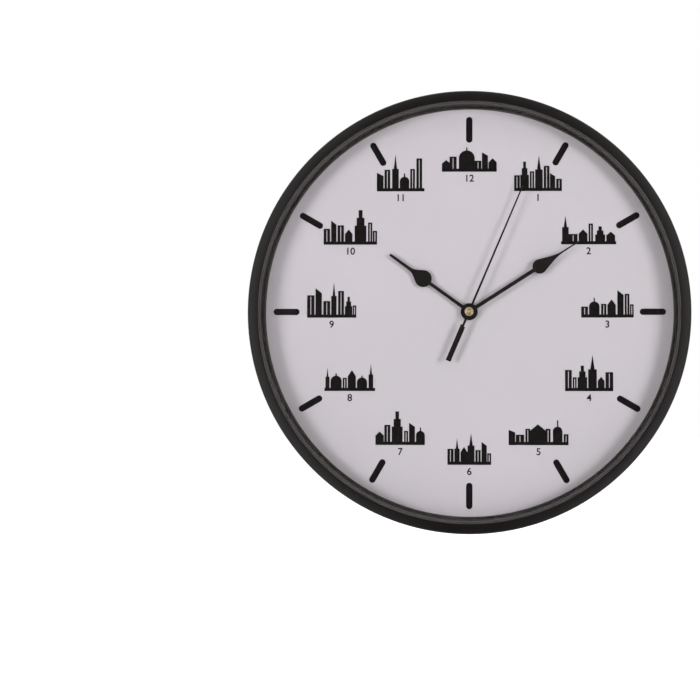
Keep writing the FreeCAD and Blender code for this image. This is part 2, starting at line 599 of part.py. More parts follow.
# Frame: a revolved drum with a crowned band, a stepped bevel down to the glass and a rim round the rear cover
def make_frame():
    band_inner = OUTER_RADIUS - BAND_WIDTH
    band_outer_y = FRONT_Y + BAND_CROWN
    ledge_outer = band_inner - BEVEL_FIRST_WIDTH
    outline = [
        (OUTER_RADIUS, band_outer_y),
        (band_inner + BAND_FLAT, FRONT_Y),
        (band_inner, FRONT_Y),
        (ledge_outer, FRONT_Y + BEVEL_FIRST_DROP),
        (ledge_outer - BEVEL_LEDGE, FRONT_Y + BEVEL_FIRST_DROP),
        (SIGHT_RADIUS, GLASS_FRONT_Y - SIGHT_EDGE),
        (SIGHT_RADIUS, GLASS_FRONT_Y),
        (FRAME_BORE_RADIUS, GLASS_FRONT_Y),
        (FRAME_BORE_RADIUS, BOARD_BACK_Y),
        (COVER_RADIUS + FIT_GAP, BOARD_BACK_Y),
        (COVER_RADIUS + FIT_GAP, FRAME_BACK_Y),
        (OUTER_RADIUS, FRAME_BACK_Y),
    ]
    body = crowned(outline)
    body = body.makeFillet(BAND_ROUND, rim_edges(body, OUTER_RADIUS, band_outer_y))
    body = body.makeFillet(BAND_INNER_ROUND, rim_edges(body, band_inner, FRONT_Y))
    body = body.makeFillet(FRAME_BACK_ROUND, rim_edges(body, OUTER_RADIUS, FRAME_BACK_Y))
    hole_start = FLANGE_BACK_Y - COVER_SCREW_LENGTH
    for x, z in cover_screw_places():
        body = body.cut(rod(COVER_SCREW_RADIUS, hole_start, FLANGE_BACK_Y, x, z))
    return body


def make_glass():
    return rod(GLASS_RADIUS, GLASS_FRONT_Y, GLASS_BACK_Y)


def make_spacer_ring():
    outline = [
        (SIGHT_RADIUS, GLASS_BACK_Y),
        (SIGHT_RADIUS + SPACER_WALL, GLASS_BACK_Y),
        (SIGHT_RADIUS + SPACER_WALL, DIAL_Y - SPACER_FOOT),
        (GLASS_RADIUS, DIAL_Y - SPACER_FOOT),
        (GLASS_RADIUS, DIAL_Y),
        (SIGHT_RADIUS, DIAL_Y),
    ]
    return turned(outline)


# Dial: a thin printed sheet on a stiff board, both with a hole for the movement's stem
def make_dial_sheet():
    return tube(GLASS_RADIUS, STEM_RADIUS + STEM_GAP, DIAL_Y, BOARD_FRONT_Y)


def make_dial_board():
    return tube(GLASS_RADIUS, STEM_RADIUS + STEM_GAP, BOARD_FRONT_Y, BOARD_BACK_Y)


def make_hour_marks():
    """One printed bar with round ends at every hour."""
    half = MARK_WIDTH / 2
    bar = block(-half, half, DIAL_Y - PRINT_THICK, DIAL_Y, MARK_INNER_RADIUS + half, MARK_OUTER_RADIUS - half)
    ends = [
        rod(half, DIAL_Y - PRINT_THICK, DIAL_Y, 0, MARK_INNER_RADIUS + half),
        rod(half, DIAL_Y - PRINT_THICK, DIAL_Y, 0, MARK_OUTER_RADIUS - half),
    ]
    mark = joined([bar] + ends)
    return Part.makeCompound([clockwise(mark, 360 * hour / HOURS) for hour in range(HOURS)])


def building(roof, left, right, base, top):
    """One building of a skyline, as a thin print with this kind of roof."""
    middle = (left + right) / 2
    half = (right - left) / 2
    eaves = base + EAVES_SHARES[roof] * (top - base)
    walls = [(right, eaves), (right, base), (left, base), (left, eaves)]
    low, high = middle - NEEDLE_WIDTH / 2, middle + NEEDLE_WIDTH / 2
    roofs = {
        "flat": [],
        "gable": [(middle, top)],
        "slant": [(left, top)],
        "steps": stepped_roof(middle, half, eaves, top),
        "spire": [(middle - half / 2, eaves), (middle, top), (middle + half / 2, eaves)],
        "dome": [(low, eaves), (low, top), (high, top), (high, eaves)],
    }
    body = plate(walls + roofs[roof], DIAL_Y - PRINT_THICK, DIAL_Y)
    if roof != "dome":
        return body
    cap = rod(half, DIAL_Y - PRINT_THICK, DIAL_Y, middle, eaves)
    below = block(left, right, DIAL_Y - OVERRUN, DIAL_Y + OVERRUN, eaves - half - OVERRUN, eaves)
    return body.fuse(cap.cut(below))


def stepped_roof(middle, half, eaves, top):
    """The roof points of a building that narrows in two steps, from its left side to its right."""
    rise = (top - eaves) / 2
    outer, inner = [share * half for share in STEPPED_ROOF_SHARES]
    levels = [(outer, eaves), (outer, eaves + rise), (inner, eaves + rise), (inner, top)]
    left_side = [(middle - x, z) for x, z in levels]
    right_side = [(middle + x, z) for x, z in reversed(levels)]
    return left_side + right_side


def make_skyline(hour):
    """The buildings of one skyline on a common strip of ground, with a slit in every flat-roofed one."""
    angle = math.radians(360 * hour / HOURS)
    width, height = SKYLINE_WIDTHS[hour], SKYLINE_HEIGHTS[hour]
    left = SKYLINE_REACH_X * math.sin(angle) - width / 2
    base = SKYLINE_REACH_Z * math.cos(angle) - SKYLINE_DROP
    prints = [block(left, left + width, DIAL_Y - PRINT_THICK, DIAL_Y, base, base + SKYLINE_GROUND)]
    slits = []
    for roof, start, end, top in SKYLINES_SHARES[hour]:
        wall, other_wall, roof_top = left + start * width, left + end * width, base + top * height
        prints.append(building(roof, wall, other_wall, base, roof_top))
        if roof == "flat":
            middle = (wall + other_wall) / 2
            half = SKYLINE_SLIT_WIDTH / 2
            slit_base = base + SKYLINE_GROUND
            slit_top = roof_top - SKYLINE_SLIT_HEADROOM
            slits.append(block(
                middle - half, middle + half, DIAL_Y - OVERRUN, DIAL_Y + OVERRUN, slit_base, slit_top
            ))
    return joined(prints).cut(slits)


def make_skyline_prints():
    return Part.makeCompound([make_skyline(hour) for hour in range(HOURS)])


# Rear cover: a flange with a hollow round boss that rests on the wall
def keyhole(margin, y_start, y_end, slot_radius):
    """The keyhole's outline, widened by a margin, as a body along Y."""
    wide = slot_radius + margin
    return joined([
        rod(KEY_ENTRY_RADIUS + margin, y_start, y_end, 0, KEY_ENTRY_HEIGHT),
        rod(wide, y_start, y_end, 0, KEY_SLOT_HEIGHT),
        block(-wide, wide, y_start, y_end, KEY_ENTRY_HEIGHT, KEY_SLOT_HEIGHT),
    ])


def window(margin, y_start, y_end):
    """The movement's window with its two notches, widened by a margin, as a body along Y."""
    half_x = HALF_WIDTH + WINDOW_SIDE_GAP + margin
    half_z = WINDOW_HALF_HEIGHT + margin
    notch_x = TONGUE_WIDTH / 2 + NOTCH_SIDE_GAP + margin
    notch_z = half_z + NOTCH_DEPTH
    return joined([
        rounded_block(half_x, half_z, WINDOW_ROUND + margin, y_start, y_end),
        block(-notch_x, notch_x, y_start, y_end, -notch_z, notch_z),
    ])


def make_tongue():
    """The upper snap tongue: a strip joined to the skirt at its front end, with a nose over the movement."""
    outer_z = WINDOW_HALF_HEIGHT + NOTCH_DEPTH - TONGUE_GAP
    inner_z = outer_z - TONGUE_THICK
    tip_z = HALF_HEIGHT - NOSE_REACH
    half = TONGUE_WIDTH / 2
    end_y = -TONGUE_SETBACK
    nose_y = CASE_BACK_Y + NOSE_GAP
    strip = block(-half, half, BOARD_BACK_Y, end_y, inner_z, outer_z)
    root = block(-half, half, BOARD_BACK_Y, BOARD_BACK_Y + TONGUE_ROOT, inner_z, outer_z + TONGUE_GAP)
    side = [
        point(-half, nose_y, inner_z),
        point(-half, end_y, inner_z),
        point(-half, nose_y + NOSE_TIP_THICK, tip_z),
        point(-half, nose_y, tip_z),
    ]
    nose = Part.Face(Part.makePolygon(side + side[:1])).extrude(point(TONGUE_WIDTH, 0, 0))
    plan = [(-half, inner_z), (half, inner_z), (NOSE_WIDTH / 2, tip_z), (-NOSE_WIDTH / 2, tip_z)]
    nose = nose.common(plate(plan, nose_y - OVERRUN, end_y + OVERRUN))
    return joined([strip, root, nose])


def make_rear_cover():
    inner_radius = BOSS_RADIUS - COVER_WALL
    outline = [
        (inner_radius, BOARD_BACK_Y),
        (COVER_RADIUS, BOARD_BACK_Y),
        (COVER_RADIUS, FLANGE_BACK_Y),
        (BOSS_RADIUS, FLANGE_BACK_Y),
        (BOSS_RADIUS, 0),
        (0, 0),
        (0, -COVER_WALL),
        (inner_radius, -COVER_WALL),
    ]
    body = turned(outline)
    body = body.makeFillet(BOSS_ROUND, rim_edges(body, BOSS_RADIUS, 0))
    body = body.makeFillet(BOSS_FOOT_ROUND, rim_edges(body, BOSS_RADIUS, FLANGE_BACK_Y))
    key_floor = -COVER_WALL - KEY_DEPTH
    slot_radius = KEY_SLOT_WIDTH / 2
    skirt = window(SKIRT_WALL, BOARD_BACK_Y, -COVER_WALL)
    pocket = keyhole(KEY_WALL, key_floor - KEY_WALL, -COVER_WALL, KEY_HEAD_RADIUS)
    body = joined([body, skirt, pocket])
    body = body.cut(window(0, BOARD_BACK_Y - OVERRUN, OVERRUN))
    body = body.cut(keyhole(0, key_floor, -COVER_WALL, KEY_HEAD_RADIUS))
    body = body.cut(keyhole(0, -COVER_WALL - OVERRUN, OVERRUN, slot_radius))
    for angle in (0, 180):
        x, z = polar(BOSS_RADIUS - SIDE_HOLE_MARGIN, angle)
        body = body.cut(rod(SIDE_HOLE_RADIUS, -COVER_WALL - OVERRUN, OVERRUN, x, z))
    for angle in (45, 135, 225, 315):
        x, z = polar(BOSS_RADIUS - PIT_MARGIN, angle)
        body = body.cut(rod(PIT_RADIUS, -PIT_DEPTH, OVERRUN, x, z))
    hole_radius = COVER_SCREW_RADIUS + SCREW_HOLE_GAP
    for x, z in cover_screw_places():
        body = body.cut(rod(hole_radius, BOARD_BACK_Y - OVERRUN, FLANGE_BACK_Y + OVERRUN, x, z))
    tongue = make_tongue()
    return joined([body, tongue, clockwise(tongue, 180)])


def cover_screw_places():
    angles = [COVER_SCREW_FIRST_ANGLE + 360 * index / COVER_SCREWS for index in range(COVER_SCREWS)]
    return [clock_place(COVER_SCREW_CIRCLE, angle) for angle in angles]


def screw(radius, length, head_radius, head_height, seat_y, x, z):
    """A screw that points to the front, with its head on seat_y and a slot across the head."""
    half = SCREW_SLOT_WIDTH / 2
    head_y = seat_y + head_height
    body = joined([
        rod(radius, seat_y - length, seat_y, x, z),
        rod(head_radius, seat_y, head_y, x, z),
    ])
    slot_x = head_radius + OVERRUN
    slot_y = head_y - SCREW_SLOT_DEPTH
    return body.cut(block(x - slot_x, x + slot_x, slot_y, head_y + OVERRUN, z - half, z + half))


def make_cover_screws():
    screws = []
    for x, z in cover_screw_places():
        screws.append(screw(
            COVER_SCREW_RADIUS, COVER_SCREW_LENGTH, COVER_SCREW_HEAD_RADIUS, COVER_SCREW_HEAD_HEIGHT,
            FLANGE_BACK_Y, x, z,
        ))
    return Part.makeCompound(screws)


# Gears
def gear(place, teeth, module, phase, y_start, y_end, shares):
    """A toothed disc whose first tooth points along phase, in degrees."""
    pitch_angle = 360 / teeth
    middle_radius = pitch_radius(teeth, module)
    root = middle_radius - DEDENDUM_SHARE * module
    flank = list(zip(shares, (root, middle_radius, tip_radius(teeth, module))))
    outline = []
    for tooth in range(teeth):
        middle = phase + tooth * pitch_angle
        for share, radius in flank:
            x, z = polar(radius, middle - share * pitch_angle / 2)
            outline.append((place[0] + x, place[1] + z))
        for share, radius in reversed(flank):
            x, z = polar(radius, middle + share * pitch_angle / 2)
            outline.append((place[0] + x, place[1] + z))
    return plate(outline, y_start, y_end)


def wheel(place, teeth, module, phase, lift, thick):
    return gear(place, teeth, module, phase, FLOOR_Y + lift, FLOOR_Y + lift + thick, WHEEL_TOOTH_SHARES)


def pinion(place, teeth, module, phase, lift, top):
    return gear(place, teeth, module, phase, FLOOR_Y + lift, FLOOR_Y + top, PINION_TOOTH_SHARES)


def pivoted_arbor(radius, place, y_start, front_pivot_end):
    """An arbor with a thinner pivot at both ends, which turns in the case and in the smoked cover."""
    shoulder = PIVOT_TOP - RUN_GAP
    return joined([
        rod(radius, y_start, shoulder, *place),
        rod(PIVOT_RADIUS, front_pivot_end, y_start, *place),
        rod(PIVOT_RADIUS, shoulder, REAR_PIVOT_END, *place),
    ])


# Going train
def make_rotor_pinion():
    """A moulded arbor with the pinion that drives the intermediate wheel."""
    phase = meshed_phase(0, INTERMEDIATE_TEETH, ROTOR_ANGLE, ROTOR_TEETH)
    low = INTERMEDIATE_LIFT - ROTOR_PINION_MARGIN
    high = INTERMEDIATE_LIFT + WHEEL_THICK + ROTOR_PINION_MARGIN
    return joined([
        pivoted_arbor(ROTOR_ARBOR_RADIUS, ROTOR_PLACE, FLOOR_Y + RUN_GAP, FRONT_PIVOT_END),
        pinion(ROTOR_PLACE, ROTOR_TEETH, ROTOR_MODULE, phase, low, high),
    ])


def make_rotor_magnet():
    start = FLOOR_Y + MAGNET_LIFT
    return tube(MAGNET_RADIUS, ROTOR_ARBOR_RADIUS, start, start + MAGNET_THICK, *ROTOR_PLACE)


def make_intermediate_wheel():
    phase = meshed_phase(0, SECONDS_TEETH, INTERMEDIATE_ANGLE, INTERMEDIATE_PINION_TEETH)
    low = SECONDS_LIFT - PINION_MARGIN
    start = FLOOR_Y + PLATE_LIFT + PLATE_THICK + RUN_GAP
    return joined([
        pivoted_arbor(ARBOR_RADIUS, INTERMEDIATE_PLACE, start, FLOOR_Y + PLATE_LIFT + RUN_GAP),
        wheel(INTERMEDIATE_PLACE, INTERMEDIATE_TEETH, ROTOR_MODULE, 0, INTERMEDIATE_LIFT, WHEEL_THICK),
        pinion(INTERMEDIATE_PLACE, INTERMEDIATE_PINION_TEETH, SECONDS_MODULE, phase, low, INTERMEDIATE_LIFT),
    ])


def make_seconds_wheel():
    """The wheel that turns once a minute, pressed on the second hand's arbor."""
    low = THIRD_LIFT - PINION_MARGIN
    body = joined([
        wheel(CENTRE, SECONDS_TEETH, SECONDS_MODULE, 0, SECONDS_LIFT, WHEEL_THICK),
        pinion(CENTRE, SECONDS_PINION_TEETH, THIRD_MODULE, 0, low, SECONDS_LIFT),
    ])
    return body.cut(rod(ARBOR_RADIUS, FLOOR_Y, CEILING_Y))


def make_seconds_arbor():
    start = DIAL_Y - SECOND_ARBOR_RISE
    shoulder = PIVOT_TOP - RUN_GAP
    return joined([
        rod(ARBOR_RADIUS, start, shoulder),
        rod(PIVOT_RADIUS, shoulder, REAR_PIVOT_END),
    ])


def make_third_wheel():
    wheel_phase = meshed_phase(0, SECONDS_PINION_TEETH, THIRD_ANGLE, THIRD_TEETH)
    pinion_phase = meshed_phase(0, CENTRE_TEETH, THIRD_ANGLE, THIRD_PINION_TEETH)
    low = CENTRE_LIFT - PINION_MARGIN
    return joined([
        pivoted_arbor(ARBOR_RADIUS, THIRD_PLACE, FLOOR_Y + RUN_GAP, FRONT_PIVOT_END),
        wheel(THIRD_PLACE, THIRD_TEETH, THIRD_MODULE, wheel_phase, THIRD_LIFT, WHEEL_THICK),
        pinion(THIRD_PLACE, THIRD_PINION_TEETH, CENTRE_MODULE, pinion_phase, low, THIRD_LIFT),
    ])


def make_centre_wheel():
    """The wheel that turns once an hour and carries the cannon pinion along by friction."""
    hub_start = FLOOR_Y + CENTRE_LIFT - PINION_MARGIN
    body = joined([
        wheel(CENTRE, CENTRE_TEETH, CENTRE_MODULE, 0, CENTRE_LIFT, WHEEL_THICK),
        rod(CLUTCH_HUB_RADIUS, hub_start, hub_start + CLUTCH_HUB_HEIGHT),
    ])
    return body.cut(rod(CLUTCH_RADIUS + RUN_GAP, FLOOR_Y, CEILING_Y))


# Motion work
def make_cannon_pinion():
    """The minute hand's pipe, with a pinion and a neck for the centre wheel."""
    gear_start = FLOOR_Y + MOTION_LIFT
    gear_end = gear_start + MOTION_THICK
    neck_end = FLOOR_Y + PLATE_LIFT - RUN_GAP
    body = joined([
        rod(MINUTE_PIPE_RADIUS, DIAL_Y - MINUTE_HAND_RISE - HAND_THICK - MINUTE_COLLAR_HEIGHT, gear_start),
        gear(CENTRE, CANNON_TEETH, MOTION_MODULE, 0, gear_start, gear_end, PINION_TOOTH_SHARES),
        rod(CLUTCH_RADIUS, gear_end, neck_end),
    ])
    return body.cut(rod(MINUTE_BORE_RADIUS, FRONT_Y, 0))


def make_motion_wheel():
    """The wheel and pinion between cannon pinion and hour wheel, running on a peg of the case."""
    pinion_phase = meshed_phase(0, HOUR_TEETH, MOTION_ANGLE, MOTION_PINION_TEETH)
    body = joined([
        wheel(MOTION_PLACE, MOTION_TEETH, MOTION_MODULE, MOTION_PHASE, MOTION_LIFT, MOTION_THICK),
        pinion(MOTION_PLACE, MOTION_PINION_TEETH, HOUR_MODULE, pinion_phase, RUN_GAP, MOTION_LIFT),
    ])
    return body.cut(rod(PEG_RADIUS + RUN_GAP, FLOOR_Y - OVERRUN, CEILING_Y, *MOTION_PLACE))


def make_hour_wheel():
    """The wheel that turns once in twelve hours, with the hour hand's pipe."""
    body = joined([
        wheel(CENTRE, HOUR_TEETH, HOUR_MODULE, 0, HOUR_LIFT, HOUR_WHEEL_THICK),
        rod(HOUR_PIPE_RADIUS, DIAL_Y - HOUR_HAND_RISE - HAND_THICK - HOUR_COLLAR_HEIGHT, FLOOR_Y + HOUR_LIFT),
    ])
    return body.cut(rod(MINUTE_PIPE_RADIUS + RUN_GAP, FRONT_Y, 0))


# Setting gear and knob
def make_setting_gear():
    phase = meshed_phase(MOTION_PHASE, MOTION_TEETH, SETTING_ANGLE, SETTING_TEETH)
    knob_end = CASE_BACK_Y + KNOB_GAP + KNOB_THICK
    return joined([
        rod(SETTING_ARBOR_RADIUS, FLOOR_Y + RUN_GAP, knob_end - KNOB_DISH_DEPTH, *SETTING_PLACE),
        rod(PIVOT_RADIUS, FRONT_PIVOT_END, FLOOR_Y + RUN_GAP, *SETTING_PLACE),
        wheel(SETTING_PLACE, SETTING_TEETH, MOTION_MODULE, phase, MOTION_LIFT, MOTION_THICK),
    ])


def make_setting_knob():
    """A round knob with a fluted edge and a dished face, pressed on the setting arbor."""
    start = CASE_BACK_Y + KNOB_GAP
    end = start + KNOB_THICK
    flutes = []
    for index in range(KNOB_FLUTES):
        x, z = reach(SETTING_PLACE, KNOB_RADIUS, 360 * index / KNOB_FLUTES)
        flutes.append(rod(KNOB_FLUTE_RADIUS, start - OVERRUN, end + OVERRUN, x, z))
    cutters = flutes + [
        rod(KNOB_DISH_RADIUS, end - KNOB_DISH_DEPTH, end + OVERRUN, *SETTING_PLACE),
        rod(SETTING_ARBOR_RADIUS, start - OVERRUN, end + OVERRUN, *SETTING_PLACE),
    ]
    return rod(KNOB_RADIUS, start, end, *SETTING_PLACE).cut(cutters)


# Movement case and its smoked cover
def case_outline(inset):
    """The movement's outline with its two cut upper corners, moved inwards by an inset."""
    half_x = HALF_WIDTH - inset
    half_z = HALF_HEIGHT - inset
    chamfer = CASE_CHAMFER - CHAMFER_INSET_SHARE * inset
    return [
        (-half_x, -half_z), (half_x, -half_z), (half_x, half_z - chamfer),
        (half_x - chamfer, half_z), (-half_x + chamfer, half_z), (-half_x, half_z - chamfer),
    ]


def make_movement_case():
    bay_bottom = BAY_TOP - CASE_WALL
    shell = plate(case_outline(0), BOARD_BACK_Y, CASE_BACK_Y)
    shell = shell.cut(plate(case_outline(CASE_WALL), FLOOR_Y, CASE_BACK_Y + OVERRUN))
    beside = HALF_WIDTH + OVERRUN
    above = block(-beside, beside, CEILING_Y, CASE_BACK_Y + OVERRUN, bay_bottom, HALF_HEIGHT + OVERRUN)
    divider = block(-BAY_END_X, BAY_END_X, FLOOR_Y, CEILING_Y, bay_bottom, BAY_TOP)
    body = joined([shell.cut(above), divider, make_stem()] + case_posts())
    cutters = [rod(HOUR_PIPE_RADIUS + RUN_GAP, FRONT_Y, FLOOR_Y + OVERRUN)]
    for place in (ROTOR_PLACE, THIRD_PLACE, SETTING_PLACE):
        cutters.append(rod(PIVOT_RADIUS + RUN_GAP, FLOOR_Y - PIVOT_DEPTH, FLOOR_Y + OVERRUN, *place))
    for x, z in stator_screw_places():
        start = FLOOR_Y + STATOR_LIFT + STATOR_THICK + CORE_THICK - STATOR_SCREW_LENGTH
        cutters.append(rod(STATOR_SCREW_RADIUS, start, FLOOR_Y + STATOR_LIFT + OVERRUN, x, z))
    for side in (-1, 1):
        cutters.append(tail_slot(side))
    return body.cut(cutters)


def make_stem():
    """The threaded collar that stands through the dial."""
    start = DIAL_Y - STEM_RISE
    outline = [(0, FLOOR_Y), (0, start), (STEM_RADIUS - THREAD_DEPTH, start)]
    turns = int(STEM_RISE / THREAD_PITCH)
    for turn in range(turns):
        crest = start + turn * THREAD_PITCH + THREAD_PITCH / 2
        outline.append((STEM_RADIUS, crest))
        outline.append((STEM_RADIUS - THREAD_DEPTH, crest + THREAD_PITCH / 2))
    outline.append((STEM_RADIUS, start + turns * THREAD_PITCH + THREAD_PITCH / 2))
    outline.append((STEM_RADIUS, FLOOR_Y))
    return turned(outline)


def case_posts():
    """Posts and pegs on the floor of the case."""
    posts = [rod(PEG_RADIUS, FLOOR_Y, FLOOR_Y + MOTION_LIFT + MOTION_THICK + RUN_GAP, *MOTION_PLACE)]
    plate_end = PLATE_LIFT + PLATE_THICK + PEG_RISE
    for place in PLATE_POST_PLACES:
        posts.append(rod(POST_RADIUS, FLOOR_Y, FLOOR_Y + PLATE_LIFT, *place))
        posts.append(rod(PEG_RADIUS, FLOOR_Y, FLOOR_Y + plate_end, *place))
    board_end = BOARD_LIFT + BOARD_THICK + PEG_RISE
    for place in BOARD_PEG_PLACES:
        posts.append(rod(POST_RADIUS, FLOOR_Y, FLOOR_Y + BOARD_LIFT, *place))
        posts.append(rod(PEG_RADIUS, FLOOR_Y, FLOOR_Y + board_end, *place))
    for x, z in stator_screw_places():
        posts.append(rod(STATOR_POST_RADIUS, FLOOR_Y, FLOOR_Y + STATOR_LIFT, x, z))
    return posts


def make_movement_cover():
    """The smoked cover over the train, with bevelled long edges and a cup for each rear pivot."""
    half = HALF_WIDTH
    side = [
        point(-half, CEILING_Y, BAY_TOP - CASE_WALL),
        point(-half, CASE_BACK_Y - COVER_BEVEL_DEPTH, BAY_TOP - CASE_WALL),
        point(-half + COVER_BEVEL_WIDTH, CASE_BACK_Y, BAY_TOP - CASE_WALL),
        point(half - COVER_BEVEL_WIDTH, CASE_BACK_Y, BAY_TOP - CASE_WALL),
        point(half, CASE_BACK_Y - COVER_BEVEL_DEPTH, BAY_TOP - CASE_WALL),
        point(half, CEILING_Y, BAY_TOP - CASE_WALL),
    ]
    height = HALF_HEIGHT - BAY_TOP + CASE_WALL
    body = Part.Face(Part.makePolygon(side + side[:1])).extrude(point(0, 0, height))
    body = body.common(plate(case_outline(0), CEILING_Y - OVERRUN, CASE_BACK_Y + OVERRUN))
    cups = []
    for place in (CENTRE, ROTOR_PLACE, THIRD_PLACE, INTERMEDIATE_PLACE):
        cups.append(tube(CUP_RADIUS, PIVOT_RADIUS + RUN_GAP, PIVOT_TOP, CEILING_Y, *place))
    body = joined([body] + cups)
    return body.cut(rod(SETTING_ARBOR_RADIUS + RUN_GAP, CEILING_Y - OVERRUN, 0, *SETTING_PLACE))


def make_middle_plate():
    start = FLOOR_Y + PLATE_LIFT
    end = start + PLATE_THICK
    body = block(PLATE_LEFT, PLATE_RIGHT, start, end, PLATE_BOTTOM, PLATE_TOP)
    body = body.makeFillet(PLATE_ROUND, [edge for edge in body.Edges if edge_runs_along_y(edge)])
    low, high = start - OVERRUN, end + OVERRUN
    third_hole = tip_radius(THIRD_PINION_TEETH, CENTRE_MODULE) + PINION_HOLE_GAP
    cutters = [
        rod(MAGNET_RADIUS + PLATE_MAGNET_GAP, low, high, *ROTOR_PLACE),
        rod(third_hole, low, high, *THIRD_PLACE),
        rod(ARBOR_RADIUS + RUN_GAP, low, high),
        rod(PIVOT_RADIUS + RUN_GAP, low, high, *INTERMEDIATE_PLACE),
    ]
    for place in PLATE_POST_PLACES:
        cutters.append(rod(PEG_RADIUS, low, high, *place))
    return body.cut(cutters)


# Stepping motor
def stator_screw_places():
    top = STATOR_BAR_TOP - STATOR_BAR_WIDTH / 2
    bottom = STATOR_BAR_BOTTOM + STATOR_BAR_WIDTH / 2
    return [(CORE_X, top), (CORE_X, bottom)]


def make_stator():
    """A flat yoke with an eye round the rotor and an arm and two bars that lead to the coil's core."""
    start = FLOOR_Y + STATOR_LIFT
    end = start + STATOR_THICK
    left = CORE_X - STATOR_POST_RADIUS
    arm_centre = ROTOR_PLACE[0] - STATOR_ARM_OFFSET
    arm_left = arm_centre - STATOR_ARM_WIDTH / 2
    arm_right = arm_centre + STATOR_ARM_WIDTH / 2
    body = joined([
        rod(STATOR_EYE_RADIUS, start, end, *ROTOR_PLACE),
        block(arm_left, arm_right, start, end, ROTOR_PLACE[1], STATOR_BAR_TOP),
        block(left, arm_right, start, end, STATOR_BAR_TOP - STATOR_BAR_WIDTH, STATOR_BAR_TOP),
        block(left, ROTOR_PLACE[0], start, end, STATOR_BAR_BOTTOM, STATOR_BAR_BOTTOM + STATOR_BAR_WIDTH),
    ])
    cutters = [rod(MAGNET_RADIUS + STATOR_BORE_GAP, start - OVERRUN, end + OVERRUN, *ROTOR_PLACE)]
    for x, z in stator_screw_places():
        cutters.append(rod(STATOR_SCREW_RADIUS + SCREW_HOLE_GAP, start - OVERRUN, end + OVERRUN, x, z))
    return body.cut(cutters)


def make_coil_core():
    half = CORE_WIDTH / 2
    end = CORE_Y + CORE_THICK
    body = block(CORE_X - half, CORE_X + half, CORE_Y, end, STATOR_BAR_BOTTOM, STATOR_BAR_TOP)
    cutters = []
    for x, z in stator_screw_places():
        cutters.append(rod(STATOR_SCREW_RADIUS + SCREW_HOLE_GAP, CORE_Y - OVERRUN, end + OVERRUN, x, z))
    return body.cut(cutters)


def upright_rod(radius, z_start, z_end):
    """A cylinder along Z about the coil's axis."""
    middle = point(CORE_X, CORE_Y + CORE_THICK / 2, z_start)
    return Part.makeCylinder(radius, z_end - z_start, middle, point(0, 0, 1))


def make_coil_bobbin():
    middle_y = CORE_Y + CORE_THICK / 2
    half = BOBBIN_HALF_WIDTH
    low_y, high_y = middle_y - half, middle_y + half
    parts = [upright_rod(BOBBIN_TUBE_RADIUS, BOBBIN_LOW, BOBBIN_HIGH)]
    for z in (BOBBIN_LOW, BOBBIN_HIGH - BOBBIN_FLANGE):
        parts.append(block(CORE_X - half, CORE_X + half, low_y, high_y, z, z + BOBBIN_FLANGE))
    half_x = CORE_WIDTH / 2 + BOBBIN_CORE_GAP
    half_y = CORE_THICK / 2 + BOBBIN_CORE_GAP
    bore = block(
        CORE_X - half_x, CORE_X + half_x, middle_y - half_y, middle_y + half_y,
        BOBBIN_LOW - OVERRUN, BOBBIN_HIGH + OVERRUN,
    )
    return joined(parts).cut(bore)


def make_coil_winding():
    low = BOBBIN_LOW + BOBBIN_FLANGE
    high = BOBBIN_HIGH - BOBBIN_FLANGE
    body = upright_rod(WINDING_RADIUS, low, high)
    return body.cut(upright_rod(BOBBIN_TUBE_RADIUS, low - OVERRUN, high + OVERRUN))


def make_stator_screws():
    screws = []
    for x, z in stator_screw_places():
        screws.append(screw(
            STATOR_SCREW_RADIUS, STATOR_SCREW_LENGTH, STATOR_SCREW_HEAD_RADIUS, STATOR_SCREW_HEAD_HEIGHT,
            CORE_Y + CORE_THICK, x, z,
        ))
    return Part.makeCompound(screws)


# Electronics
def make_circuit_board():
    body = block(BOARD_LEFT, BOARD_RIGHT, FLOOR_Y + BOARD_LIFT, BOARD_Y, BOARD_BOTTOM, BOARD_TOP)
    return body.cut([rod(PEG_RADIUS, FLOOR_Y, BOARD_Y + OVERRUN, *place) for place in BOARD_PEG_PLACES])


def make_chip_blob():
    body = rod(BLOB_RADIUS, BOARD_Y, BOARD_Y + BLOB_HEIGHT, *BLOB_PLACE)
    rim = [edge for edge in body.Edges if abs(edge.CenterOfMass.y - BOARD_Y - BLOB_HEIGHT) < NEAR]
    return body.makeFillet(BLOB_ROUND, rim)


def make_quartz_crystal():
    """A small round can that lies on the circuit board, with two leads soldered in their feet."""
    x, z = CRYSTAL_X, CRYSTAL_Z
    y = BOARD_Y + CRYSTAL_RADIUS
    along_x = point(1, 0, 0)
    parts = [Part.makeCylinder(CRYSTAL_RADIUS, CRYSTAL_LENGTH, point(x, y, z), along_x)]
    for side in (-1, 1):
        start = point(x - CRYSTAL_LEAD_LENGTH, y, z + side * CRYSTAL_LEAD_SPREAD)
        parts.append(Part.makeCylinder(CRYSTAL_LEAD_RADIUS, CRYSTAL_LEAD_LENGTH, start, along_x))
        parts.append(rod(CRYSTAL_FOOT_RADIUS, BOARD_Y, y + CRYSTAL_FOOT_RADIUS, start.x, start.z))
    return joined(parts)


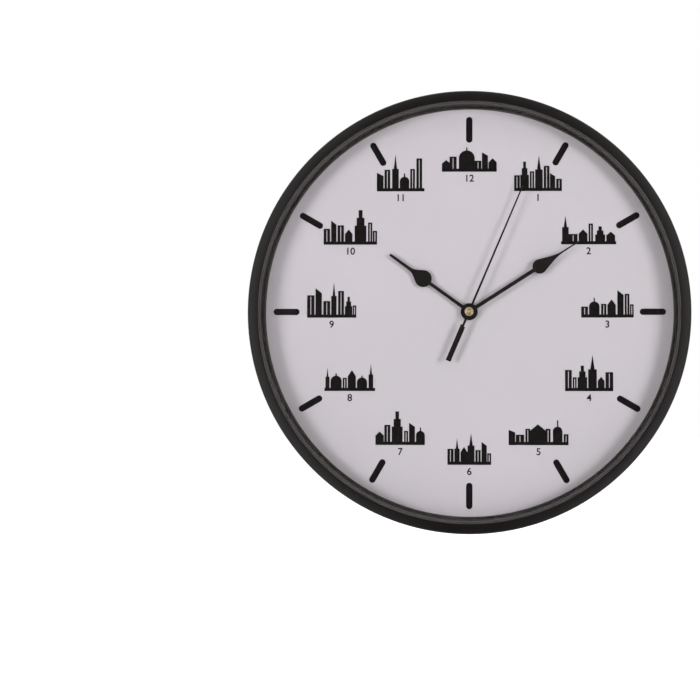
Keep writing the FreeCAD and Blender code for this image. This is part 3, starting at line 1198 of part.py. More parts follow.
# Battery and its contacts
def make_battery_cell():
    """A cell lying across the case, with its raised terminal at -X and its flat terminal at +X."""
    along_x = point(1, 0, 0)
    body_x = CELL_START_X + CELL_NUB_LENGTH
    body_end = CELL_START_X + CELL_LENGTH - CELL_END_RISE
    shell = Part.makeCylinder(CELL_RADIUS, body_end - body_x, point(body_x, CELL_Y, CELL_HEIGHT), along_x)
    rims = [edge for edge in shell.Edges if edge.Curve.TypeId == "Part::GeomCircle"]
    shell = shell.makeFillet(CELL_ROUND, rims)
    nub_place = point(CELL_START_X, CELL_Y, CELL_HEIGHT)
    nub = Part.makeCylinder(CELL_NUB_RADIUS, CELL_LENGTH - CELL_END_RISE, nub_place, along_x)
    end = Part.makeCylinder(CELL_END_RADIUS, CELL_LENGTH / 2, point(0, CELL_Y, CELL_HEIGHT), along_x)
    end_cut = block(
        CELL_START_X + CELL_LENGTH, CELL_LENGTH + OVERRUN, CELL_Y - CELL_RADIUS, CELL_Y + CELL_RADIUS,
        CELL_HEIGHT - CELL_RADIUS, CELL_HEIGHT + CELL_RADIUS,
    )
    return joined([shell, nub, end.cut(end_cut)])


def tail_slot(side):
    """The slot in the wall above the battery through which a contact's tail passes."""
    inner = BAY_END_X - CONTACT_THICK - TAIL_SLOT_GAP
    low, high = sorted((side * inner, side * (BAY_END_X + TAIL_SLOT_GAP)))
    start = TAIL_Y - TAIL_SLOT_GAP
    end = TAIL_Y + TAIL_WIDTH + TAIL_SLOT_GAP
    return block(low, high, start, end, BAY_TOP - CASE_WALL - OVERRUN, BAY_TOP + OVERRUN)


def contact_parts(side, board_edge):
    """The upright strip at one end of the battery bay and its tail to the circuit board."""
    wall = side * BAY_END_X
    inner = side * (BAY_END_X - CONTACT_THICK)
    low, high = sorted((wall, inner))
    half = CONTACT_WIDTH / 2
    top = CASE_BACK_Y - CONTACT_TOP_GAP
    tab_z = BOARD_BOTTOM + TAIL_TAB_INSET
    tab_x = sorted((wall, board_edge - side * TAIL_LAP))
    return [
        block(low, high, FLOOR_Y, top, CELL_HEIGHT - half, CELL_HEIGHT + half),
        block(low, high, TAIL_Y, TAIL_Y + TAIL_WIDTH, CELL_HEIGHT, tab_z + TAIL_WIDTH),
        block(tab_x[0], tab_x[1], TAIL_Y, TAIL_Y + CONTACT_THICK, tab_z, tab_z + TAIL_WIDTH),
    ]


def make_positive_contact():
    return joined(contact_parts(-1, BOARD_LEFT))


def make_negative_contact():
    """The contact at the flat end of the cell, with a bent strip that presses on the cell."""
    inner = BAY_END_X - CONTACT_THICK
    tip = CELL_START_X + CELL_LENGTH + CONTACT_GAP
    top = CASE_BACK_Y - CONTACT_TOP_GAP
    bend = top - SPRING_DROP
    side = [(inner, top), (tip, bend), (tip, bend - CONTACT_THICK), (inner, top - SPRING_ROOT)]
    half = CONTACT_WIDTH / 2
    points = [point(x, y, CELL_HEIGHT - half) for x, y in side]
    leaf = Part.Face(Part.makePolygon(points + points[:1])).extrude(point(0, 0, CONTACT_WIDTH))
    return joined(contact_parts(1, BOARD_RIGHT) + [leaf])


# Hands
def line_between(start, end):
    return Part.makeLine(point(start[0], 0, start[1]), point(end[0], 0, end[1]))


def curve_between(start, start_pull, end_pull, end):
    """A smooth curve that leaves the start and reaches the end in the direction of the two pulls."""
    curve = Part.BezierCurve()
    curve.setPoles([point(x, 0, z) for x, z in (start, start_pull, end_pull, end)])
    return curve.toShape()


def leaf_taper(place, radius, shoulder_angle, taper, neck_width, length, tip_width):
    """The part of a hand beyond its leaf's circle: hollow sides, then a straight stem with a round end."""
    x, z = polar(radius, shoulder_angle)
    shoulder = (x, place + z)
    pull_x, pull_z = polar(LEAF_START_SHARE * taper, shoulder_angle + 90)
    shoulder_pull = (shoulder[0] + pull_x, shoulder[1] + pull_z)
    neck = (neck_width / 2, place + taper)
    neck_pull = (neck[0], neck[1] - LEAF_END_SHARE * taper)
    tip = (tip_width / 2, length - tip_width / 2)
    right = (shoulder, shoulder_pull, neck_pull, neck)
    left = [(-x, z) for x, z in right]
    left_tip = (-tip[0], tip[1])
    top = Part.Arc(point(tip[0], 0, tip[1]), point(0, 0, length), point(left_tip[0], 0, tip[1])).toShape()
    edges = [
        curve_between(*right),
        line_between(neck, tip),
        top,
        line_between(left_tip, left[3]),
        curve_between(*reversed(left)),
        line_between(left[0], shoulder),
    ]
    return Part.Face(Part.Wire(edges))


def leaf_hand(rise, disc_radius, arm_width, leaf_place, leaf_radius, taper, collar, pipe_radius):
    """A flat hand pointing to twelve, with a leaf-shaped swelling, a disc at its hub and a collar behind."""
    collar_radius, collar_height = collar
    back = DIAL_Y - rise
    front = back - HAND_THICK
    half = arm_width / 2
    end = taper.extrude(point(0, HAND_THICK, 0))
    end.translate(point(0, front, 0))
    body = joined([
        rod(disc_radius, front, back),
        block(-half, half, front, back, 0, leaf_place),
        rod(leaf_radius, front, back, 0, leaf_place),
        end,
        rod(collar_radius, front - collar_height, front),
    ])
    return body.cut(rod(pipe_radius, FRONT_Y, back + OVERRUN))


def make_hour_hand():
    taper = leaf_taper(
        HOUR_LEAF_PLACE, HOUR_LEAF_RADIUS, HOUR_SHOULDER_ANGLE, HOUR_TAPER_LENGTH,
        HOUR_NECK_WIDTH, HOUR_HAND_LENGTH, HOUR_TIP_WIDTH,
    )
    hand = leaf_hand(
        HOUR_HAND_RISE, HOUR_DISC_RADIUS, HOUR_ARM_WIDTH, HOUR_LEAF_PLACE, HOUR_LEAF_RADIUS,
        taper, (HOUR_COLLAR_RADIUS, HOUR_COLLAR_HEIGHT), HOUR_PIPE_RADIUS,
    )
    return clockwise(hand, HOUR_HAND_ANGLE)


def make_minute_hand():
    taper = leaf_taper(
        MINUTE_LEAF_PLACE, MINUTE_LEAF_RADIUS, MINUTE_SHOULDER_ANGLE, MINUTE_TAPER_LENGTH,
        MINUTE_NECK_WIDTH, MINUTE_HAND_LENGTH, MINUTE_TIP_WIDTH,
    )
    hand = leaf_hand(
        MINUTE_HAND_RISE, MINUTE_DISC_RADIUS, MINUTE_ARM_WIDTH, MINUTE_LEAF_PLACE, MINUTE_LEAF_RADIUS,
        taper, (MINUTE_COLLAR_RADIUS, MINUTE_COLLAR_HEIGHT), MINUTE_PIPE_RADIUS,
    )
    return clockwise(hand, MINUTE_HAND_ANGLE)


def make_second_hand():
    """A needle with a thin neck and a broad counterweight behind the hub."""
    back = DIAL_Y - SECOND_HAND_RISE
    front = back - SECOND_HAND_THICK
    base = SECOND_ARM_WIDTH / 2
    tip = SECOND_TIP_WIDTH / 2
    tail = SECOND_TAIL_WIDTH / 2
    neck_z = -SECOND_TAIL_NECK
    step_z = neck_z - SECOND_TAIL_STEP
    end_z = -SECOND_TAIL_LENGTH
    needle = [(-base, neck_z), (base, neck_z), (tip, SECOND_HAND_LENGTH), (-tip, SECOND_HAND_LENGTH)]
    weight = [(-tail, neck_z), (base, neck_z), (base, step_z), (tail, step_z), (tail, end_z), (-tail, end_z)]
    body = joined([
        plate(needle, front, back),
        plate(weight, front, back),
        rod(SECOND_DISC_RADIUS, front, back),
    ])
    return clockwise(body.cut(rod(ARBOR_RADIUS, FRONT_Y, 0)), SECOND_HAND_ANGLE)


def make_second_cap():
    """The brass cap that holds the second hand on its arbor."""
    back = DIAL_Y - SECOND_HAND_RISE - SECOND_HAND_THICK
    front = back - SECOND_CAP_HEIGHT
    rim_y = front + SECOND_CAP_CROWN
    body = crowned([(SECOND_CAP_RADIUS, rim_y), (0, front), (0, back), (SECOND_CAP_RADIUS, back)])
    body = body.cut(Part.makeCone(
        SECOND_CAP_DIMPLE_RADIUS, 0, SECOND_CAP_DIMPLE_DEPTH, point(0, front, 0), AXIS
    ))
    body = body.makeFillet(SECOND_CAP_ROUND, rim_edges(body, SECOND_CAP_RADIUS, rim_y))
    return body.cut(rod(ARBOR_RADIUS, DIAL_Y - SECOND_ARBOR_RISE, 0))


NODES = {
    "frame": make_frame,
    "glass": make_glass,
    "spacer_ring": make_spacer_ring,
    "dial_sheet": make_dial_sheet,
    "hour_marks": make_hour_marks,
    "skyline_prints": make_skyline_prints,
    "dial_board": make_dial_board,
    "rear_cover": make_rear_cover,
    "cover_screws": make_cover_screws,
    "movement_case": make_movement_case,
    "movement_cover": make_movement_cover,
    "middle_plate": make_middle_plate,
    "circuit_board": make_circuit_board,
    "chip_blob": make_chip_blob,
    "quartz_crystal": make_quartz_crystal,
    "stator": make_stator,
    "coil_core": make_coil_core,
    "coil_bobbin": make_coil_bobbin,
    "coil_winding": make_coil_winding,
    "stator_screws": make_stator_screws,
    "rotor_magnet": make_rotor_magnet,
    "rotor_pinion": make_rotor_pinion,
    "intermediate_wheel": make_intermediate_wheel,
    "seconds_wheel": make_seconds_wheel,
    "seconds_arbor": make_seconds_arbor,
    "third_wheel": make_third_wheel,
    "centre_wheel": make_centre_wheel,
    "cannon_pinion": make_cannon_pinion,
    "motion_wheel": make_motion_wheel,
    "hour_wheel": make_hour_wheel,
    "setting_gear": make_setting_gear,
    "setting_knob": make_setting_knob,
    "positive_contact": make_positive_contact,
    "negative_contact": make_negative_contact,
    "battery_cell": make_battery_cell,
    "hour_hand": make_hour_hand,
    "minute_hand": make_minute_hand,
    "second_hand": make_second_hand,
    "second_cap": make_second_cap,
}

os.makedirs("parts", exist_ok=True)
for name, make in NODES.items():
    shape = make()
    shape.exportStep(f"parts/{name}.step")
    print(name, len(shape.Solids), round(shape.Volume, 2), shape.isValid())
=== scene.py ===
import math

import bmesh
import bpy
from mathutils import Matrix, Vector


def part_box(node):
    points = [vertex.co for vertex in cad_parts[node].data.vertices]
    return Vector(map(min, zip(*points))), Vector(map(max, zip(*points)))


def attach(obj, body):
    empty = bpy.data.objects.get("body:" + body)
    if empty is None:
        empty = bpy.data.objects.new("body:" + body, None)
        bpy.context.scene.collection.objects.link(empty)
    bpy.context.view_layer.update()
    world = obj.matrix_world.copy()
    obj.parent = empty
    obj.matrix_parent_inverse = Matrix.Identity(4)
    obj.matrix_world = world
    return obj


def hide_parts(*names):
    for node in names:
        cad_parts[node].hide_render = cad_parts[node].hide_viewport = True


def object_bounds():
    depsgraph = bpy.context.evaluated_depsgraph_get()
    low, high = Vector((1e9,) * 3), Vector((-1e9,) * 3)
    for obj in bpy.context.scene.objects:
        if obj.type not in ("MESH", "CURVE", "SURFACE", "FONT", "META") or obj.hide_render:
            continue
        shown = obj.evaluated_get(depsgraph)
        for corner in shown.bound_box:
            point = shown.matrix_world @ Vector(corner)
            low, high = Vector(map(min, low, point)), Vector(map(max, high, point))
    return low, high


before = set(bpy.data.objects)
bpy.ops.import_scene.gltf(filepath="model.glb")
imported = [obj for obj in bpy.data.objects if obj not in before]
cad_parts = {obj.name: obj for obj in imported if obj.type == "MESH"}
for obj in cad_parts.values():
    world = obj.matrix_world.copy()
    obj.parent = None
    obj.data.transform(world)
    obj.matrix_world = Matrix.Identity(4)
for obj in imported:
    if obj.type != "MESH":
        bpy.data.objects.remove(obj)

cad_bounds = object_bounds()

# Frame
# One moulding of satin black plastic, 300 mm across: a drum with a crowned band and a stepped bevel.
# It carries the glass, the spacer ring and the dial, and the rear cover is screwed into its back.
MM = 0.001
FRAME_BLACK = (15, 11, 10)
FRAME_RUBBED = (38, 34, 32)
DUST_GREY = (150, 146, 140)
# The bevel's two greys below are painted sheen: grey rings on the black bevel that stand in for the light it
# reflects.
BEVEL_PAINTED_SHEEN = (58, 53, 52)
BEVEL_SHEEN_LINE = (76, 71, 70)
BEVEL_SHEEN_DEPTH = 2.5 * MM    # front of the frame to the end of the bevel's grey steps
BEVEL_SHEEN_LINES = 4130.0           # radians per metre of depth, so a line every 1.5 mm
BEVEL_BLUR = 0.2 * MM          # how softly one finish goes over into the next
BEVEL_POLISH = 0.1             # how much smoother than the band the bevel is
BAND_FLAT_RADIUS = 143.3 * MM  # in the flat strip of the band, outside the bevel


def paint(colour):
    """A colour as it is seen, 0 to 255, as scene-linear red, green, blue and alpha."""
    shares = [level / 255 for level in colour]
    linear = [s / 12.92 if s <= 0.04045 else ((s + 0.055) / 1.055) ** 2.4 for s in shares]
    return (*linear, 1.0)


def add(tree, kind, inputs=None, **settings):
    """Puts a node into a tree, with its settings, and links or sets its inputs by name or number."""
    node = tree.nodes.new(kind)
    for name, value in settings.items():
        setattr(node, name, value)
    for key, value in (inputs or {}).items():
        if isinstance(value, bpy.types.NodeSocket):
            tree.links.new(value, node.inputs[key])
        else:
            node.inputs[key].default_value = value
    return node


def result_of(tree, operation, first, second=0.0):
    """The result of a Math node."""
    return add(tree, "ShaderNodeMath", {0: first, 1: second}, operation=operation).outputs[0]


def clamped(tree, operation, first, second=0.0):
    """The result of a Math node, kept between 0 and 1."""
    node = add(tree, "ShaderNodeMath", {0: first, 1: second}, operation=operation, use_clamp=True)
    return node.outputs[0]


def ramped(tree, value, low, high, low_result=0.0, high_result=1.0):
    """A value moved smoothly from low_result to high_result as the input goes from low to high."""
    node = add(tree, "ShaderNodeMapRange", interpolation_type="SMOOTHSTEP")
    tree.links.new(value, node.inputs["Value"])
    limits = {"From Min": low, "From Max": high, "To Min": low_result, "To Max": high_result}
    for name, limit in limits.items():
        if isinstance(limit, bpy.types.NodeSocket):
            tree.links.new(limit, node.inputs[name])
        else:
            node.inputs[name].default_value = limit
    return node.outputs["Result"]


def blended(tree, factor, first, second):
    """One colour laid over another by a mask."""
    node = add(tree, "ShaderNodeMix", {0: factor, 6: first, 7: second}, data_type="RGBA")
    return node.outputs[2]


def noise(tree, place, scale, detail=2.0, roughness=0.5):
    """Even cloudy noise, with so many patches per metre."""
    values = {"Vector": place, "Scale": scale, "Detail": detail, "Roughness": roughness}
    return add(tree, "ShaderNodeTexNoise", values).outputs["Fac"]


def object_place(tree):
    """The place on the clock, in metres from the point on the wall behind the hands."""
    return add(tree, "ShaderNodeTexCoord").outputs["Object"]


def from_axis(tree):
    """The distance from the hands' axis, in metres."""
    parts = add(tree, "ShaderNodeSeparateXYZ", {0: object_place(tree)}).outputs
    flat = add(tree, "ShaderNodeCombineXYZ", {"X": parts["X"], "Z": parts["Z"]}).outputs[0]
    return add(tree, "ShaderNodeVectorMath", {0: flat}, operation="LENGTH").outputs["Value"]


def effect_group(name, inputs, outputs):
    """A new shader node group with these inputs (name, default) and outputs (name, socket type)."""
    tree = bpy.data.node_groups.new(name, "ShaderNodeTree")
    for socket_name, default in inputs:
        socket = tree.interface.new_socket(socket_name, in_out="INPUT", socket_type="NodeSocketFloat")
        socket.default_value = default
    for socket_name, socket_type in outputs:
        tree.interface.new_socket(socket_name, in_out="OUTPUT", socket_type=socket_type)
    return tree, tree.nodes.new("NodeGroupInput").outputs, tree.nodes.new("NodeGroupOutput").inputs


def make_moulded_grain():
    """The fine pebbled grain of a moulded part, with patches that handling has polished."""
    inputs = [("Pebbles", 2500.0), ("Smooth", 0.3), ("Rough", 0.5)]
    outputs = [("Roughness", "NodeSocketFloat"), ("Height", "NodeSocketFloat")]
    tree, given, result = effect_group("moulded_grain", inputs, outputs)
    place = object_place(tree)
    pebbles = noise(tree, place, given["Pebbles"], 1.0)
    patches = noise(tree, place, 34.0, 3.0)
    flecks = noise(tree, place, 700.0, 1.0)
    broad = result_of(tree, "MULTIPLY", patches, 0.8)
    mottle = result_of(tree, "ADD", broad, result_of(tree, "MULTIPLY", flecks, 0.2))
    tree.links.new(ramped(tree, mottle, 0.35, 0.65, given["Smooth"], given["Rough"]), result["Roughness"])
    tree.links.new(pebbles, result["Height"])
    return tree


def make_worn_edges():
    """Where an edge is rubbed by hands and cloths: a mask that is 1 along the edges, and rounded normals."""
    inputs = [("Radius", 0.0005), ("Wear", 1.0)]
    outputs = [("Mask", "NodeSocketFloat"), ("Normal", "NodeSocketVector")]
    tree, given, result = effect_group("worn_edges", inputs, outputs)
    rounded = add(tree, "ShaderNodeBevel", {"Radius": given["Radius"]}, samples=4).outputs["Normal"]
    flat = add(tree, "ShaderNodeNewGeometry").outputs["Normal"]
    product = add(tree, "ShaderNodeVectorMath", {0: rounded, 1: flat}, operation="DOT_PRODUCT")
    bend = clamped(tree, "SUBTRACT", 1.0, product.outputs["Value"])
    edge = ramped(tree, bend, 0.01, 0.22)
    rubbed = ramped(tree, noise(tree, object_place(tree), 160.0, 4.0, 0.65), 0.38, 0.72)
    mask = clamped(tree, "MULTIPLY", result_of(tree, "MULTIPLY", edge, rubbed), given["Wear"])
    tree.links.new(mask, result["Mask"])
    tree.links.new(rounded, result["Normal"])
    return tree


def make_fine_scratches():
    """Hairline scratches from wiping, in two directions, with bare stretches between them."""
    inputs = [("Scale", 40.0), ("Width", 0.004), ("Amount", 1.0)]
    tree, given, result = effect_group("fine_scratches", inputs, [("Mask", "NodeSocketFloat")])
    place = object_place(tree)
    lines = None
    for turn, stretch in ((0.6, 9.0), (-0.9, 14.0)):
        laid = add(tree, "ShaderNodeMapping", {"Vector": place, "Rotation": (0.3, turn, 0.2)})
        laid.inputs["Scale"].default_value = (1.0, 1.0, stretch)
        field = noise(tree, laid.outputs["Vector"], given["Scale"], 2.0)
        off = result_of(tree, "ABSOLUTE", result_of(tree, "SUBTRACT", field, 0.5))
        line = result_of(tree, "SUBTRACT", 1.0, ramped(tree, off, 0.0, given["Width"]))
        lines = line if lines is None else result_of(tree, "MAXIMUM", lines, line)
    sparse = ramped(tree, noise(tree, place, 55.0, 2.0), 0.5, 0.68)
    mask = clamped(tree, "MULTIPLY", result_of(tree, "MULTIPLY", lines, sparse), given["Amount"])
    tree.links.new(mask, result["Mask"])
    return tree


def make_dust_specks():
    """Grains of dust and lint that lie on a surface."""
    inputs = [("Grains", 260.0), ("Amount", 1.0)]
    tree, given, result = effect_group("dust_specks", inputs, [("Mask", "NodeSocketFloat")])
    place = object_place(tree)
    cells = add(tree, "ShaderNodeTexVoronoi", {"Vector": place, "Scale": given["Grains"]})
    shade = add(tree, "ShaderNodeSeparateColor", {0: cells.outputs["Color"]}).outputs[0]
    size = ramped(tree, shade, 0.80, 1.0, 0.0, 0.16)
    grain = result_of(tree, "LESS_THAN", cells.outputs["Distance"], size)
    haze = ramped(tree, noise(tree, place, 18.0, 3.0), 0.45, 0.75, 0.0, 0.35)
    mask = clamped(tree, "MULTIPLY", result_of(tree, "MAXIMUM", grain, haze), given["Amount"])
    tree.links.new(mask, result["Mask"])
    return tree


moulded_grain = make_moulded_grain()
worn_edges = make_worn_edges()
fine_scratches = make_fine_scratches()
dust_specks = make_dust_specks()


def effect(tree, group, **values):
    """Places an effect group in a material with its own values."""
    node = tree.nodes.new("ShaderNodeGroup")
    node.node_tree = group
    for name, value in values.items():
        node.inputs[name].default_value = value
    return node.outputs


def new_finish(name):
    """A new material, its node tree and its Principled shader."""
    finish = bpy.data.materials.new(name)
    finish.use_nodes = True
    tree = finish.node_tree
    return finish, tree, tree.nodes["Principled BSDF"]


def roughened(tree, shader, height, depth, normal=None):
    """Gives a shader the small relief of a height that changes over the surface."""
    bump = add(tree, "ShaderNodeBump", {"Height": height, "Distance": depth, "Strength": 1.0})
    if normal is not None:
        tree.links.new(normal, bump.inputs["Normal"])
    tree.links.new(bump.outputs["Normal"], shader.inputs["Normal"])


def dress(names, finish):
    """Gives these pieces of the clock one finish."""
    for name in names:
        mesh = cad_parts[name].data
        mesh.materials.clear()
        mesh.materials.append(finish)


def moulded_plastic(
    name, colour, rubbed, *, dust, pebbles, grain_depth, smooth, rough, edge_radius, scratched,
):
    """Moulded plastic with grain of so many pebbles per metre, rubbed edges, scratches and a little dust."""
    finish, tree, shader = new_finish(name)
    grain = effect(tree, moulded_grain, Pebbles=pebbles, Smooth=smooth, Rough=rough)
    wear = effect(tree, worn_edges, Radius=edge_radius, Wear=0.8)
    scratches = effect(tree, fine_scratches, Scale=38.0, Width=0.005, Amount=scratched)
    specks = effect(tree, dust_specks, Grains=240.0, Amount=dust)
    tone = ramped(tree, noise(tree, object_place(tree), 12.0, 3.0), 0.3, 0.7)
    deep = paint([level * 0.88 for level in colour])
    base = blended(tree, tone, deep, paint(colour))
    base = blended(tree, wear["Mask"], base, paint(rubbed))
    base = blended(tree, result_of(tree, "MULTIPLY", scratches["Mask"], 0.4), base, paint(rubbed))
    base = blended(tree, specks["Mask"], base, paint(DUST_GREY))
    tree.links.new(base, shader.inputs["Base Color"])
    handled = result_of(tree, "MULTIPLY", wear["Mask"], 0.12)
    polished = result_of(tree, "SUBTRACT", grain["Roughness"], handled)
    dulled = result_of(tree, "ADD", polished, result_of(tree, "MULTIPLY", scratches["Mask"], 0.1))
    tree.links.new(dulled, shader.inputs["Roughness"])
    roughened(tree, shader, grain["Height"], grain_depth, wear["Normal"])
    return finish


def polish_bevel(tree, shader):
    """The bevel is glossier than the band, and its upper steps get a painted grey sheen in round lines,
    standing in for the light that the black bevel reflects.
    """
    place = add(tree, "ShaderNodeSeparateXYZ", {0: object_place(tree)}).outputs
    depth = result_of(tree, "SUBTRACT", place["Y"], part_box("frame")[0][1])
    within = result_of(tree, "LESS_THAN", from_axis(tree), BAND_FLAT_RADIUS)
    bevel = result_of(tree, "MULTIPLY", within, ramped(tree, depth, 0.0, BEVEL_BLUR))
    # Painted sheen: the upper steps of the bevel get grey rings in place of the light they reflect.
    lines = ramped(tree, result_of(tree, "SINE", result_of(tree, "MULTIPLY", depth, BEVEL_SHEEN_LINES)), 0.2, 0.9)
    polished = blended(tree, lines, paint(BEVEL_PAINTED_SHEEN), paint(BEVEL_SHEEN_LINE))
    plain = shader.inputs["Base Color"].links[0].from_socket
    upper = ramped(tree, depth, BEVEL_SHEEN_DEPTH, BEVEL_SHEEN_DEPTH + BEVEL_BLUR, 1.0, 0.0)
    painted_sheen_steps = result_of(tree, "MULTIPLY", bevel, upper)
    tree.links.new(blended(tree, painted_sheen_steps, plain, polished), shader.inputs["Base Color"])
    rough = shader.inputs["Roughness"].links[0].from_socket
    glossy = clamped(tree, "SUBTRACT", rough, result_of(tree, "MULTIPLY", bevel, BEVEL_POLISH))
    tree.links.new(glossy, shader.inputs["Roughness"])


black_frame = moulded_plastic(
    "satin_black_frame", FRAME_BLACK, FRAME_RUBBED, dust=0.01, pebbles=2600, grain_depth=0.006 * MM,
    smooth=0.29, rough=0.34, edge_radius=0.5 * MM, scratched=0.2,
)
polish_bevel(black_frame.node_tree, black_frame.node_tree.nodes["Principled BSDF"])
dress(["frame"], black_frame)

# Glass
# A flat disc of clear float glass, 2 mm thick, held between the frame's bevel and the spacer ring.
# Light for the dial passes it, and it keeps a faint smear of handling and a few hairlines.
GLASS_TINT = (252, 254, 253)
GLASS_IOR = 1.5


def see_through(name, colour, ior, *, clean, smeared):
    """A clear material that lets light through, with a roughness from clean to smeared and hairlines."""
    finish, tree, shader = new_finish(name)
    shader.inputs["Base Color"].default_value = paint(colour)
    shader.inputs["Transmission Weight"].default_value = 1.0
    shader.inputs["IOR"].default_value = ior
    smear = ramped(tree, noise(tree, object_place(tree), 22.0, 4.0, 0.6), 0.35, 0.75, clean, smeared)
    hairlines = effect(tree, fine_scratches, Scale=30.0, Width=0.002, Amount=0.5)
    rough = result_of(tree, "ADD", smear, result_of(tree, "MULTIPLY", hairlines["Mask"], 0.04))
    tree.links.new(rough, shader.inputs["Roughness"])
    clear = add(tree, "ShaderNodeBsdfTransparent", {"Color": paint(colour)})
    path = add(tree, "ShaderNodeLightPath").outputs
    passing = result_of(tree, "MAXIMUM", path["Is Shadow Ray"], path["Is Diffuse Ray"])
    both = add(tree, "ShaderNodeMixShader", {0: passing, 1: shader.outputs[0], 2: clear.outputs[0]})
    tree.links.new(both.outputs[0], tree.nodes["Material Output"].inputs["Surface"])
    return finish


dress(["glass"], see_through("clear_glass", GLASS_TINT, GLASS_IOR, clean=0.0, smeared=0.012))

# Spacer ring
# The inner wall between glass and dial, a ring of taupe moulded plastic with a foot on the dial.
# It shows the mould's fine grain, and its edge under the glass is painted black as shade, which fades out
# towards the dial.
RING_TAUPE = (78, 69, 58)
# The black below is painted shade on the ring's front edge, where the bevel shades it. It fades out towards
# the dial.
RING_PAINTED_SHADE = (12, 10, 10)
RING_SHADE_FULL_DEPTH = 3.6 * MM    # depth of the full black below the front edge
RING_SHADE_END_DEPTH = 8.0 * MM      # depth at which none of it is left


def make_ring_plastic():
    """Matt taupe plastic with a fine grain and painted shade: black at the edge that the glass lies on."""
    finish, tree, shader = new_finish("taupe_spacer_ring")
    place = object_place(tree)
    grain = effect(tree, moulded_grain, Pebbles=2200.0, Smooth=0.55, Rough=0.68)
    specks = effect(tree, dust_specks, Grains=240.0, Amount=0.03)
    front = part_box("spacer_ring")[0][1]
    depth = add(tree, "ShaderNodeSeparateXYZ", {0: place}).outputs["Y"]
    # Painted shade: black at the front edge under the glass, fading to taupe deeper down.
    shade_fade = ramped(tree, depth, front + RING_SHADE_FULL_DEPTH, front + RING_SHADE_END_DEPTH)
    tone = ramped(tree, noise(tree, place, 16.0, 3.0), 0.3, 0.7, 0.0, 0.25)
    base = blended(tree, tone, paint(RING_TAUPE), paint([level * 0.85 for level in RING_TAUPE]))
    base = blended(tree, shade_fade, paint(RING_PAINTED_SHADE), base)
    base = blended(tree, specks["Mask"], base, paint(DUST_GREY))
    tree.links.new(base, shader.inputs["Base Color"])
    tree.links.new(grain["Roughness"], shader.inputs["Roughness"])
    shader.inputs["Specular IOR Level"].default_value = 0.06
    roughened(tree, shader, grain["Height"], 0.01 * MM)
    return finish


dress(["spacer_ring"], make_ring_plastic())

# Dial
# A sheet of matt printed paper in a pale lavender white, glued on a stiff grey board behind it.
# Its fibres and a faint unevenness of the print show from near.
DIAL_WHITE = (206, 195, 204)
DIAL_WARM = (203, 193, 200)
BOARD_GREY = (118, 112, 104)
BOARD_DARK = (108, 103, 96)


def paper(name, colour, clouded, *, fibre_depth, smooth, rough):
    """Matt paper or board with fibres and faint clouds of a second colour."""
    finish, tree, shader = new_finish(name)
    place = object_place(tree)
    laid = add(tree, "ShaderNodeMapping", {"Vector": place, "Scale": (1.0, 1.0, 5.0)}).outputs["Vector"]
    fibres = noise(tree, laid, 900.0, 4.0, 0.6)
    cloud = ramped(tree, noise(tree, place, 9.0, 2.0), 0.3, 0.7)
    base = blended(tree, cloud, paint(colour), paint(clouded))
    base = blended(tree, ramped(tree, fibres, 0.3, 0.8, 0.0, 0.06), base, paint([c * 0.8 for c in colour]))
    tree.links.new(base, shader.inputs["Base Color"])
    tree.links.new(ramped(tree, fibres, 0.3, 0.7, smooth, rough), shader.inputs["Roughness"])
    shader.inputs["Specular IOR Level"].default_value = 0.35
    roughened(tree, shader, fibres, fibre_depth)
    return finish


dial_paper = paper("dial_paper", DIAL_WHITE, DIAL_WARM, fibre_depth=0.01 * MM, smooth=0.55, rough=0.68)
dress(["dial_sheet"], dial_paper)
grey_board = paper("grey_dial_board", BOARD_GREY, BOARD_DARK, fibre_depth=0.03 * MM, smooth=0.75, rough=0.9)
dress(["dial_board"], grey_board)

# Hour bars, skylines and numerals
# Black ink, screen printed on the dial sheet in one pass and slightly raised on it.
# Every hour has a bar with round ends, a group of buildings inside it and its number underneath.
INK_BLACK = (13, 10, 10)
INK_THIN = (22, 18, 18)
INK_HEIGHT = 0.08 * MM
HOURS = 12
SKYLINE_REACH_X = 95 * MM  # centre of the dial to the middles of the skylines, sideways and upwards
SKYLINE_REACH_Z = 101 * MM
SKYLINE_DROP = 4 * MM      # how far a skyline's ground lies below its middle's place
NUMERAL_HEIGHT = 4.7 * MM
NUMERAL_GAP = 2.1 * MM     # ground of a skyline to the top of its number
NUMERAL_WEIGHT = 0.12 * MM  # how much the strokes are thickened to each side
BUILT_IN_CAP_SHARE = 0.69  # height of a figure as a share of the font's size


def make_ink():
    """Screen-printed ink: even black, a little thinner in places, with a faint tooth."""
    finish, tree, shader = new_finish("printed_black_ink")
    place = object_place(tree)
    cover = ramped(tree, noise(tree, place, 420.0, 3.0), 0.35, 0.75)
    tree.links.new(blended(tree, cover, paint(INK_BLACK), paint(INK_THIN)), shader.inputs["Base Color"])
    rough = ramped(tree, noise(tree, place, 150.0, 2.0), 0.3, 0.7, 0.42, 0.58)
    tree.links.new(rough, shader.inputs["Roughness"])
    shader.inputs["Specular IOR Level"].default_value = 0.12
    roughened(tree, shader, noise(tree, place, 3000.0, 1.0), 0.004 * MM)
    return finish


